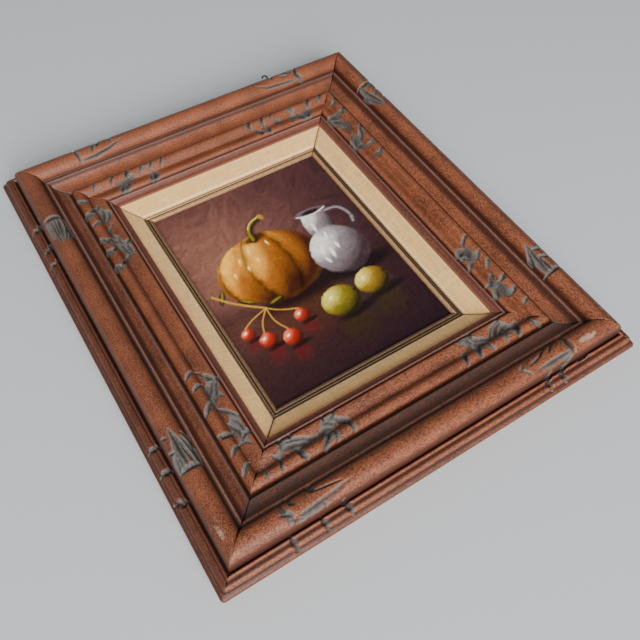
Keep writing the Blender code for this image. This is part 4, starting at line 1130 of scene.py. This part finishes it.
def fruit_lights(canvas, p):
    """Stems and the last bright touches on the fruit."""
    canvas.stem(curve_through([(-88.0, 10.0), (-72.0, -8.0), BERRY_JOINT]), 2.4, p.twig, 0.0002)
    for (x, z), radius in BERRIES:
        middle = ((x + BERRY_JOINT[0]) / 2 - 3.0, (z + BERRY_JOINT[1]) / 2 + 4.0)
        canvas.stem(curve_through([BERRY_JOINT, middle, (x, z + radius)]), 1.5, p.twig, 0.0002)
        canvas.daub((x - radius * 0.34, z + radius * 0.38), (2.6, 1.6), 30.0, p.white_light,
                    0.00028, 0.95)
    for centre, radii, _ in LIMES:
        high = (centre[0] - radii[0] * 0.36, centre[1] + radii[1] * 0.40)
        canvas.daub(high, (5.6, 3.0), 35.0, p.olive_light, 0.00025)
        canvas.daub((high[0] - 0.8, high[1] + 0.8), (2.8, 1.5), 35.0, p.white_light, 0.00028)


def paint_still_life(x, z, p):
    """The whole picture, laid in from the ground to the last lights."""
    wide = smooth_noise(x.shape, (60, 70), 7, 2)
    wobble = smooth_noise(x.shape, (9, 9), 8, 3)
    canvas = Canvas(x, z)
    paint_ground(canvas, p, wide)
    for paint in (paint_squash, paint_jug, paint_limes, paint_berries):
        paint(canvas, p, wobble)
    canvas.work_over(2600, (6.0, 1.7), 0.55, 31)
    for touch in (squash_lights, jug_lights, fruit_lights):
        touch(canvas, p)
    canvas.work_over(1500, (3.0, 1.1), 0.4, 41)
    return canvas


def board_faces(rows, columns):
    """Corners and starts of the board's faces, and the places along its front's rim."""
    index = np.arange(rows * columns).reshape(rows, columns)
    rim = np.concatenate([index[0, :], index[1:, -1], index[-1, -2::-1], index[-2:0:-1, 0]])
    front = np.stack([index[:-1, :-1], index[:-1, 1:], index[1:, 1:], index[1:, :-1]], 2)
    back = np.arange(len(rim)) + rows * columns
    around = np.stack([rim, back, np.roll(back, -1), np.roll(rim, -1)], 1)
    corners = np.concatenate([front.ravel(), around.ravel(), back[::-1]])
    four = front.size + around.size
    return corners, np.concatenate([np.arange(0, four, 4), [four]]), rim


def make_panel_piece(p, back_wood):
    """The panel with its paint: a grid front with brush relief and a plain back."""
    low, high = PANEL_LOW, PANEL_HIGH
    xs = np.linspace(low.x, high.x, int((high.x - low.x) / PANEL_STEP) + 1)
    zs = np.linspace(low.z, high.z, int((high.z - low.z) / PANEL_STEP) + 1)
    x, z = np.meshgrid(xs, zs - CENTRE.z)
    canvas = paint_still_life(x, z, p)
    bristle = smooth_noise(x.shape, (2, 9), 9) * 0.5 + smooth_noise(x.shape, (8, 2), 10) * 0.5
    relief = np.clip(canvas.thick, 0.0, THICKEST) + BRISTLE_DEPTH * bristle
    front = np.stack([x, low.y + relief.max() - relief, z + CENTRE.z], 2).reshape(-1, 3)
    corners, starts, rim = board_faces(*x.shape)
    behind = front[rim]
    behind[:, 1] = high.y
    mesh = smooth_mesh("painted_board", np.concatenate([front, behind]), corners, starts)
    varnished = np.clip(canvas.colour, 0.0, 1.0) ** VARNISH_POWER * VARNISH_GAIN
    plain = np.zeros((len(rim), 3)) + np.array(back_wood) * 0.6
    tones = np.concatenate([varnished.reshape(-1, 3), plain])
    tones = np.concatenate([tones, np.ones((len(tones), 1))], 1)
    paint = mesh.attributes.new("paint", "FLOAT_COLOR", "POINT")
    paint.data.foreach_set("color", np.clip(tones, 0.0, 1.0).astype(np.float32).ravel())
    write_attributes(mesh, {"painted": np.repeat([1.0, 0.0], [len(front), len(rim)])})
    return add_object("painted_board", mesh)


# How often the pores, the threads, the slubs and the bristle marks repeat in a metre
PORE_SCALE = (120.0, 1900.0, 1900.0)
THREADS_PER_METRE = 245.0
THREAD_SWAY = (0.0006, 0.0006, 0.0)
SLUB_SCALES = ((50.0, 760.0, 1.0), (760.0, 50.0, 1.0))
BRISTLE_SCALES = ((900.0, 900.0, 150.0), (180.0, 180.0, 1100.0))
LINEN_LIT_EDGE = (1.0, 0.76, 0.46)


def add_node(tree, kind, label="", **values):
    """A shader node, with its plain settings and the defaults of its inputs."""
    node = tree.nodes.new(kind)
    node.label = label
    for key, value in values.items():
        if key in node.inputs:
            node.inputs[key].default_value = value
        else:
            setattr(node, key, value)
    return node


def connect(tree, value, socket):
    """Feeds a socket with another one, or sets it to a plain value or colour."""
    if hasattr(value, "is_output"):
        tree.links.new(value, socket)
    elif socket.type == "RGBA":
        socket.default_value = (*value, 1.0)
    else:
        socket.default_value = value


def mix_colour(tree, factor, first, second, kind="MIX"):
    """Mixes two colours, each a socket or a plain colour."""
    node = add_node(tree, "ShaderNodeMix", data_type="RGBA", blend_type=kind)
    for place, value in ((0, factor), (6, first), (7, second)):
        connect(tree, value, node.inputs[place])
    return node.outputs[2]


def calculate(tree, operation, first, second, clamp=False):
    node = add_node(tree, "ShaderNodeMath", operation=operation, use_clamp=clamp)
    connect(tree, first, node.inputs[0])
    connect(tree, second, node.inputs[1])
    return node.outputs[0]


def times(tree, first, second):
    return calculate(tree, "MULTIPLY", first, second)


def plus(tree, first, second):
    return calculate(tree, "ADD", first, second)


def lay_over(tree, tone, over, cover, strength=1.0):
    """Lays a colour over the tone where the cover is, at a strength."""
    return mix_colour(tree, times(tree, cover, strength), tone, over)


def grey(tree, value):
    """A grey of this value."""
    node = tree.nodes.new("ShaderNodeCombineXYZ")
    for socket in node.inputs:
        tree.links.new(value, socket)
    return node.outputs[0]


def ramp(tree, value, low, high):
    """Spreads low to high over 0 to 1, smoothly."""
    node = add_node(tree, "ShaderNodeMapRange", interpolation_type="SMOOTHSTEP")
    for socket, part in zip(node.inputs, (value, low, high)):
        connect(tree, part, socket)
    return node.outputs[0]


def on_mesh(tree, name, output="Fac"):
    """What the mesh holds at each point under this name."""
    return add_node(tree, "ShaderNodeAttribute", name, attribute_name=name).outputs[output]


def scaled(tree, place, size):
    """A place times a size, one number for each direction."""
    node = add_node(tree, "ShaderNodeVectorMath", operation="MULTIPLY")
    connect(tree, place, node.inputs[0])
    connect(tree, size, node.inputs[1])
    return node.outputs[0]


def add_noise(tree, label, place, **values):
    node = add_node(tree, "ShaderNodeTexNoise", label, **values)
    tree.links.new(place, node.inputs["Vector"])
    return node.outputs[0]


def new_group(name, inputs, outputs):
    """An empty shader node group with named sockets."""
    tree = bpy.data.node_groups.new(name, "ShaderNodeTree")
    for label, kind, default in inputs:
        socket = tree.interface.new_socket(label, in_out="INPUT", socket_type=kind)
        if default is not None:
            socket.default_value = default
    for label, kind in outputs:
        tree.interface.new_socket(label, in_out="OUTPUT", socket_type=kind)
    return tree, tree.nodes.new("NodeGroupInput"), tree.nodes.new("NodeGroupOutput")


def grain_group():
    """Fibres, flecks and broad clouds that follow a length of wood."""
    name = "Wood grain"
    if name in bpy.data.node_groups:
        return bpy.data.node_groups[name]
    tree, enter, leave = new_group(name, [
        ("Place", "NodeSocketVector", None), ("Fleck size", "NodeSocketFloat", 0.0011),
        ("Stretch", "NodeSocketFloat", 0.3)],
        [("Flecks", "NodeSocketFloat"), ("Clouds", "NodeSocketFloat"),
         ("Pores", "NodeSocketFloat")])
    place = enter.outputs["Place"]
    scale = calculate(tree, "DIVIDE", 1.0, enter.outputs["Fleck size"])
    spread = tree.nodes.new("ShaderNodeCombineXYZ")
    tree.links.new(times(tree, scale, enter.outputs["Stretch"]), spread.inputs[0])
    tree.links.new(scale, spread.inputs[1])
    tree.links.new(scale, spread.inputs[2])
    flecks = add_noise(tree, "Flecks", scaled(tree, place, spread.outputs[0]), Scale=1.0,
                       Detail=4.0, Roughness=0.72)
    clouds = add_noise(tree, "Clouds", place, Scale=34.0, Detail=3.0, Roughness=0.55)
    pores = add_noise(tree, "Pores", scaled(tree, place, PORE_SCALE), Scale=1.0, Detail=2.0,
                      Roughness=0.5)
    tree.links.new(flecks, leave.inputs["Flecks"])
    tree.links.new(clouds, leave.inputs["Clouds"])
    tree.links.new(ramp(tree, pores, 0.56, 0.70), leave.inputs["Pores"])
    return tree


def dirt_and_shade_group():
    """Dirt, wax or painted shade that gathers where a mask is, with a ragged edge."""
    name = "Gathered dirt"
    if name in bpy.data.node_groups:
        return bpy.data.node_groups[name]
    tree, enter, leave = new_group(name, [
        ("Place", "NodeSocketVector", None), ("Mask", "NodeSocketFloat", 0.0),
        ("Ragged", "NodeSocketFloat", 0.35), ("Scale", "NodeSocketFloat", 420.0)],
        [("Cover", "NodeSocketFloat"), ("Cloud", "NodeSocketFloat")])
    cloud = add_node(tree, "ShaderNodeTexNoise", "Edge", Detail=4.0, Roughness=0.6)
    tree.links.new(enter.outputs["Place"], cloud.inputs["Vector"])
    tree.links.new(enter.outputs["Scale"], cloud.inputs["Scale"])
    centred = calculate(tree, "SUBTRACT", cloud.outputs[0], 0.5)
    jitter = times(tree, times(tree, centred, enter.outputs["Ragged"]), 2.0)
    edge = plus(tree, enter.outputs["Mask"], jitter)
    tree.links.new(ramp(tree, edge, 0.32, 0.72), leave.inputs["Cover"])
    tree.links.new(cloud.outputs[0], leave.inputs["Cloud"])
    return tree


def use_group(tree, group, **values):
    node = tree.nodes.new("ShaderNodeGroup")
    node.node_tree = group
    for key, value in values.items():
        connect(tree, value, node.inputs[key.replace("_", " ")])
    return node.outputs


def gather(tree, place, name, ragged, scale):
    """Cover and cloud of the dirt, wax or painted shade that gathers where the mesh's mask of this
    name is.
    """
    return use_group(tree, dirt_and_shade_group(), Place=place, Mask=on_mesh(tree, name), Ragged=ragged,
                     Scale=scale)


def new_material(name):
    material = bpy.data.materials.new(name)
    material.use_nodes = True
    return material, material.node_tree, material.node_tree.nodes["Principled BSDF"]


def add_bump(tree, shader, height, distance, strength, below=None):
    bump = add_node(tree, "ShaderNodeBump", Strength=strength, Distance=distance)
    tree.links.new(height, bump.inputs["Height"])
    if below is not None:
        tree.links.new(below.outputs[0], bump.inputs["Normal"])
    tree.links.new(bump.outputs[0], shader.inputs["Normal"])
    return bump


def stained_grain(tree, f, flecks, clouds, pores):
    """The stain on the bare grain: flecks, clouds and open pores."""
    drift = times(tree, calculate(tree, "SUBTRACT", clouds, 0.5), 0.22)
    speck = plus(tree, flecks, drift)
    tone = mix_colour(tree, ramp(tree, speck, 0.33, 0.47), f.stain_dark_and_shade, f.stain_mid)
    tone = mix_colour(tree, ramp(tree, speck, 0.44, 0.60), tone, f.stain_light)
    tone = lay_over(tree, tone, f.stain_plum, on_mesh(tree, "inner"), 0.65)
    return lay_over(tree, tone, f.stain_dark_and_shade, pores, 0.55)


def worn_stain(tree, f, tone, place, flecks):
    """Rubbed arrises, painted shade in the hollows, dark stain and painted shade in bands across
    the rail, and each rail's painted shade tone.
    """
    rubbed = times(tree, on_mesh(tree, "ridge"), ramp(tree, flecks, 0.30, 0.62))
    tone = lay_over(tree, tone, f.stain_light, rubbed, 0.75)
    # Painted shade in the hollows
    dark = gather(tree, place, "hollow", 0.25, 300.0)
    tone = lay_over(tree, tone, f.deep_stain_and_shade, dark["Cover"], 0.85)
    # Dark bands, partly stain and partly painted shade
    bands = gather(tree, place, "gathered", 0.16, 140.0)
    deep = plus(tree, times(tree, on_mesh(tree, "gathered"), 0.45),
                times(tree, bands["Cover"], 0.42))
    tone = mix_colour(tree, deep, tone, f.deep_stain_and_shade)
    # Painted shade: the whole rail darkened by its side's tone
    tone = mix_colour(tree, 1.0, tone, grey(tree, on_mesh(tree, "tone")), "MULTIPLY")
    # Greyed wear on the arrises, also a painted highlight along them
    edge = times(tree, on_mesh(tree, "rubbed"), ramp(tree, flecks, 0.25, 0.6))
    return lay_over(tree, tone, f.edge, edge, 0.6)


def wax_colour(tree, f, cloud):
    """Wax in the carving, lighter where it is shallow, and darker as painted shade along the
    deepest cut and in the hollows.
    """
    cut = on_mesh(tree, "cut")
    tone = mix_colour(tree, ramp(tree, cloud, 0.42, 0.66), f.wax, f.wax_light)
    tone = mix_colour(tree, ramp(tree, cut, 0.45, 0.20), tone, f.wax_light)
    # Painted shade along the deepest cut and in the hollows
    tone = lay_over(tree, tone, f.stain_dark_and_shade, ramp(tree, cut, 0.55, 0.95), 0.75)
    return lay_over(tree, tone, f.deep_stain_and_shade, on_mesh(tree, "hollow"), 0.45)


def wood_material(f):
    """Red brown stain with flecks, rubbed arrises, dark quirks and wax in the carving."""
    material, tree, shader = new_material("stained wood")
    place = on_mesh(tree, "grain", "Vector")
    grain = use_group(tree, grain_group(), Place=place, Fleck_size=0.00085, Stretch=0.6)
    flecks, clouds, pores = (grain[key] for key in ("Flecks", "Clouds", "Pores"))
    tone = stained_grain(tree, f, flecks, clouds, pores)
    tone = worn_stain(tree, f, tone, place, flecks)
    film = gather(tree, place, "film", 0.75, 210.0)
    tone = lay_over(tree, tone, f.dust, film["Cover"], 0.6)
    wax = gather(tree, place, "wax", 0.42, 480.0)
    tone = lay_over(tree, tone, wax_colour(tree, f, wax["Cloud"]), wax["Cover"], 0.9)
    scuff = gather(tree, place, "scuff", 0.9, 260.0)
    tone = lay_over(tree, tone, f.bare, scuff["Cover"], 0.28)
    raw = on_mesh(tree, "raw")
    bare = mix_colour(tree, ramp(tree, flecks, 0.35, 0.65), [v * 0.55 for v in f.back_wood],
                      f.back_wood)
    tone = mix_colour(tree, raw, tone, bare)
    tree.links.new(tone, shader.inputs["Base Color"])
    rough = plus(tree, times(tree, flecks, 0.30), 0.33)
    rough = plus(tree, rough, times(tree, wax["Cover"], 0.25))
    rough = calculate(tree, "ADD", rough, times(tree, raw, 0.4), clamp=True)
    tree.links.new(rough, shader.inputs["Roughness"])
    shader.inputs["Specular IOR Level"].default_value = 0.40
    first = add_bump(tree, shader, flecks, 0.0004, 0.6)
    add_bump(tree, shader, calculate(tree, "SUBTRACT", 1.0, pores), 0.0002, 0.35, first)
    return material


def woven(tree, place):
    """Heights of the crossing threads, and the slubs that run along them both ways."""
    sway = add_node(tree, "ShaderNodeTexNoise", "Sway", Scale=160.0, Detail=2.0)
    tree.links.new(place, sway.inputs["Vector"])
    swayed = add_node(tree, "ShaderNodeVectorMath", operation="MULTIPLY_ADD")
    for socket, value in zip(swayed.inputs, (sway.outputs["Color"], THREAD_SWAY, place)):
        connect(tree, value, socket)
    heights = []
    for direction in ("X", "Y"):
        wave = add_node(tree, "ShaderNodeTexWave", "Threads " + direction,
                        Scale=THREADS_PER_METRE, Distortion=0.6, Detail=2.0,
                        bands_direction=direction)
        tree.links.new(swayed.outputs[0], wave.inputs["Vector"])
        heights.append(wave.outputs["Fac"])
    slubs = [add_noise(tree, "Slubs", scaled(tree, place, size), Scale=1.0, Detail=3.0)
             for size in SLUB_SCALES]
    return times(tree, *heights), calculate(tree, "MAXIMUM", *slubs)


def linen_material(f):
    """Plain weave linen glued to the liner, a little dirty, with painted shade in its hollows and a
    painted highlight along its turned edge.
    """
    material, tree, shader = new_material("linen")
    place = on_mesh(tree, "grain", "Vector")
    weave, slub = woven(tree, place)
    tone = mix_colour(tree, ramp(tree, weave, 0.0, 0.55), f.linen_dark_and_shade, f.linen)
    tone = lay_over(tree, tone, f.linen_dark_and_shade, ramp(tree, slub, 0.64, 0.48), 0.85)
    tone = lay_over(tree, tone, LINEN_LIT_EDGE, on_mesh(tree, "ridge"), 0.7)
    soil_and_shade = gather(tree, place, "hollow", 0.3, 90.0)
    # Painted shade in the linen's hollows; the cloud below adds dirt all over
    tone = lay_over(tree, tone, f.linen_dark_and_shade, soil_and_shade["Cover"], 0.5)
    tone = lay_over(tree, tone, f.linen_dark_and_shade, ramp(tree, soil_and_shade["Cloud"], 0.55, 0.75), 0.22)
    tone = lay_over(tree, tone, [v * 0.6 for v in f.linen_dark_and_shade], on_mesh(tree, "seam"))
    tree.links.new(tone, shader.inputs["Base Color"])
    shader.inputs["Roughness"].default_value = 0.92
    shader.inputs["Sheen Weight"].default_value = 0.15
    first = add_bump(tree, shader, weave, 0.0002, 0.8)
    add_bump(tree, shader, slub, 0.0002, 0.4, first)
    return material


def gilt_material(f):
    """Aged gold, rubbed, with dirt and painted shade in its cove, painted shade on the right
    length's outer part and a painted shade tone by side.
    """
    material, tree, shader = new_material("aged gilt")
    place = on_mesh(tree, "grain", "Vector")
    grain = use_group(tree, grain_group(), Place=place, Fleck_size=0.0020, Stretch=0.5)
    tone = mix_colour(tree, ramp(tree, grain["Flecks"], 0.35, 0.62), [v * 0.5 for v in f.gilt],
                      f.gilt)
    tone = lay_over(tree, tone, [min(1.0, v * 1.6) for v in f.gilt], on_mesh(tree, "ridge"), 0.6)
    # Dirt and painted shade in the slip's cove
    soil_and_shade = gather(tree, place, "hollow", 0.3, 400.0)
    tone = lay_over(tree, tone, f.gilt_dirt_and_shade, soil_and_shade["Cover"], 0.92)
    # Painted shade on the right length's outer part
    tone = lay_over(tree, tone, f.gilt_dirt_and_shade, on_mesh(tree, "outer_shade"))
    # Painted shade: each length darkened by its side's tone
    tone = mix_colour(tree, 1.0, tone, grey(tree, on_mesh(tree, "tone")), "MULTIPLY")
    tree.links.new(tone, shader.inputs["Base Color"])
    rough = plus(tree, times(tree, grain["Flecks"], 0.25), 0.30)
    tree.links.new(rough, shader.inputs["Roughness"])
    shader.inputs["Metallic"].default_value = 0.3
    add_bump(tree, shader, grain["Flecks"], 0.0002, 0.35)
    return material


def paint_material():
    """Oil paint under varnish: bristle marks along and across, and a satin gloss."""
    material, tree, shader = new_material("oil paint")
    tone = on_mesh(tree, "paint", "Color")
    where = tree.nodes.new("ShaderNodeTexCoord").outputs["Object"]
    marks = [add_noise(tree, "Bristles", scaled(tree, where, size), Scale=1.0, Detail=3.0,
                       Distortion=0.8) for size in BRISTLE_SCALES]
    bristle = calculate(tree, "MAXIMUM", *marks)
    shift = times(tree, calculate(tree, "SUBTRACT", bristle, 0.55), 0.9)
    marked = mix_colour(tree, 1.0, tone, grey(tree, plus(tree, shift, 1.0)), "MULTIPLY")
    tone = mix_colour(tree, on_mesh(tree, "painted"), tone, marked)
    tree.links.new(tone, shader.inputs["Base Color"])
    rough = plus(tree, times(tree, bristle, 0.22), 0.18)
    tree.links.new(rough, shader.inputs["Roughness"])
    shader.inputs["Specular IOR Level"].default_value = 0.16
    add_bump(tree, shader, bristle, 0.0002, 0.35)
    return material


def wire_material(f):
    """Blackened steel wire, rubbed grey in places."""
    material, tree, shader = new_material("blackened wire")
    where = tree.nodes.new("ShaderNodeTexCoord").outputs["Object"]
    rubbing = add_noise(tree, "Rubbing", where, Scale=900.0, Detail=3.0)
    tone = mix_colour(tree, ramp(tree, rubbing, 0.5, 0.75), f.wire, [v * 4.0 for v in f.wire])
    tree.links.new(tone, shader.inputs["Base Color"])
    rough = plus(tree, times(tree, rubbing, 0.3), 0.25)
    tree.links.new(rough, shader.inputs["Roughness"])
    shader.inputs["Metallic"].default_value = 0.85
    add_bump(tree, shader, rubbing, 0.0001, 0.3)
    return material


def settle(piece, material, node):
    """Gives a piece its material and its body, and hides the solid that it stands for."""
    piece.data.materials.clear()
    piece.data.materials.append(material)
    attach(piece, "root")
    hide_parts(node)


class PAINTING_OT_frame(bpy.types.Operator):
    """Make the four carved rails of the frame"""
    bl_idname = "painting.make_frame"
    bl_label = "Carved frame"

    def execute(self, context):
        material = wood_material(settings("finishes"))
        for side in SIDES:
            rail = make_rail(side, settings("moulding"), settings("carving"))
            settle(rail, material, f"frame_rail_{side}")
        return {"FINISHED"}


class PAINTING_OT_liner(bpy.types.Operator):
    """Make the linen covered liner"""
    bl_idname = "painting.make_liner"
    bl_label = "Linen liner"

    def execute(self, context):
        material = linen_material(settings("finishes"))
        points = liner_points(settings("liner"))
        for rank, side in enumerate(SIDES):
            bar = make_strip(side, f"linen_bar_{side}", points, LINEN_STEPS,
                             LINEN_SEED + rank, LINEN_WEAR)
            settle(bar, material, f"liner_rail_{side}")
        return {"FINISHED"}


class PAINTING_OT_slip(bpy.types.Operator):
    """Make the gilt slip round the picture"""
    bl_idname = "painting.make_slip"
    bl_label = "Gilt slip"

    def execute(self, context):
        material = gilt_material(settings("finishes"))
        points = slip_points(settings("liner"))
        for rank, side in enumerate(SIDES):
            strip = make_strip(side, f"gilt_strip_{side}", points, SLIP_STEPS,
                               SLIP_SEED + rank, SLIP_WEAR)
            settle(strip, material, f"gilt_slip_{side}")
        return {"FINISHED"}


class PAINTING_OT_picture(bpy.types.Operator):
    """Make the panel and paint the still life on it"""
    bl_idname = "painting.make_picture"
    bl_label = "Painted panel"

    def execute(self, context):
        board = make_panel_piece(settings("paints"), settings("finishes").back_wood)
        settle(board, paint_material(), "painted_panel")
        return {"FINISHED"}


class PAINTING_OT_hook(bpy.types.Operator):
    """Finish the small wire hook"""
    bl_idname = "painting.make_hook"
    bl_label = "Wire hook"

    def execute(self, context):
        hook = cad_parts["hanging_hook"]
        material = wire_material(settings("finishes"))
        if hook.material_slots:
            hook.material_slots[0].material = material
        else:
            hook.data.materials.append(material)
        return {"FINISHED"}


# Half the size of the ground, and its distance behind the wall plane
GROUND_REACH = 1.6
GROUND_GAP = 0.0006
# The ground is clear to the frame's own back, which lies closer to it than this
GROUND_CLEAR = 0.006
KEY_PLACE, KEY_SIZE = (-0.80, -1.95, -2.95), 2.1
FILL_PLACE, FILL_SIZE = (-0.5, -1.9, 0.2), 1.6
SKY_COLOUR = (0.95, 0.98, 1.0, 1.0)
SENSOR_WIDTH = 36.0


def ground_material(pale):
    """Matt pale ground that is clear from behind, so that the frame's back can be seen."""
    material, tree, shader = new_material("pale ground")
    shader.inputs["Base Color"].default_value = (*pale, 1.0)
    shader.inputs["Roughness"].default_value = 0.9
    behind = tree.nodes.new("ShaderNodeNewGeometry").outputs["Backfacing"]
    travelled = tree.nodes.new("ShaderNodeLightPath").outputs["Ray Length"]
    close = calculate(tree, "LESS_THAN", travelled, GROUND_CLEAR)
    choice = tree.nodes.new("ShaderNodeMixShader")
    clear = tree.nodes.new("ShaderNodeBsdfTransparent")
    for socket, source in zip(choice.inputs, (calculate(tree, "MAXIMUM", behind, close),
                                              shader.outputs[0], clear.outputs[0])):
        tree.links.new(source, socket)
    tree.links.new(choice.outputs[0], tree.nodes["Material Output"].inputs["Surface"])
    return material


def make_ground(stage):
    mesh = bpy.data.meshes.new("pale_ground")
    mesh.from_pydata([(x * GROUND_REACH, GROUND_GAP, CENTRE.z + z * GROUND_REACH)
                      for x, z in ((-1, -1), (1, -1), (1, 1), (-1, 1))], [], [(0, 1, 2, 3)])
    mesh.materials.append(ground_material(stage.wall))
    ground = add_object("pale_ground", mesh)


def add_light(name, place, size, power):
    data = bpy.data.lights.new(name, "AREA")
    data.shape = "SQUARE"
    data.size = size
    data.energy = power
    light = add_object(name, data)
    light.location = place
    light.rotation_mode = "QUATERNION"
    light.rotation_quaternion = (CENTRE - Vector(place)).to_track_quat("-Z", "Y")


def make_camera(stage):
    data = bpy.data.cameras.new("camera")
    data.sensor_width = SENSOR_WIDTH
    data.lens = stage.focal
    data.shift_x = stage.shift_x
    data.shift_y = stage.shift_y
    camera = add_object("camera", data)
    axes = Matrix((CAMERA_RIGHT, CAMERA_UP, CAMERA_BACK)).transposed()
    camera.matrix_world = Matrix.Translation(CAMERA_PLACE) @ axes.to_4x4()
    return camera


class PAINTING_OT_stage(bpy.types.Operator):
    """Make the pale ground, the soft lights and the camera"""
    bl_idname = "painting.make_stage"
    bl_label = "Stage"

    def execute(self, context):
        stage = settings("stage_settings")
        make_ground(stage)
        add_light("key", KEY_PLACE, KEY_SIZE, stage.key)
        add_light("fill", FILL_PLACE, FILL_SIZE, stage.fill)
        world = bpy.data.worlds.new("surround")
        world.use_nodes = True
        sky = world.node_tree.nodes["Background"]
        sky.inputs["Strength"].default_value = stage.sky
        sky.inputs["Color"].default_value = SKY_COLOUR
        context.scene.world = world
        context.scene.camera = make_camera(stage)
        return {"FINISHED"}


class PAINTING_PT_panel(bpy.types.Panel):
    """Lists the pieces of the painting and their settings"""
    bl_label = "Framed oil painting"
    bl_idname = "PAINTING_PT_panel"
    bl_space_type = "VIEW_3D"
    bl_region_type = "UI"
    bl_category = "Painting"

    def draw(self, context):
        for operator in OPERATORS:
            self.layout.operator(operator.bl_idname)
        for name, group in GROUPS:
            box = self.layout.box()
            box.label(text=group.__doc__)
            for key in group.__annotations__:
                box.prop(getattr(context.scene, name), key)


GROUPS = (("moulding", MouldingSizes), ("carving", CarvingSizes), ("liner", LinerSizes),
          ("finishes", Finishes), ("paints", PaintColours), ("stage_settings", StageSettings))
OPERATORS = (PAINTING_OT_frame, PAINTING_OT_liner, PAINTING_OT_slip, PAINTING_OT_picture,
             PAINTING_OT_hook, PAINTING_OT_stage)
CLASSES = tuple(group for _, group in GROUPS) + OPERATORS + (PAINTING_PT_panel,)


def register():
    for kind in CLASSES:
        bpy.utils.register_class(kind)
    for name, group in GROUPS:
        setattr(bpy.types.Scene, name, PointerProperty(type=group))


def unregister():
    for name, _ in GROUPS:
        delattr(bpy.types.Scene, name)
    for kind in reversed(CLASSES):
        bpy.utils.unregister_class(kind)


def main():
    register()
    bpy.ops.painting.make_frame()
    bpy.ops.painting.make_liner()
    bpy.ops.painting.make_slip()
    bpy.ops.painting.make_picture()
    bpy.ops.painting.make_hook()
    bpy.ops.painting.make_stage()


if __name__ == "__main__":
    main()
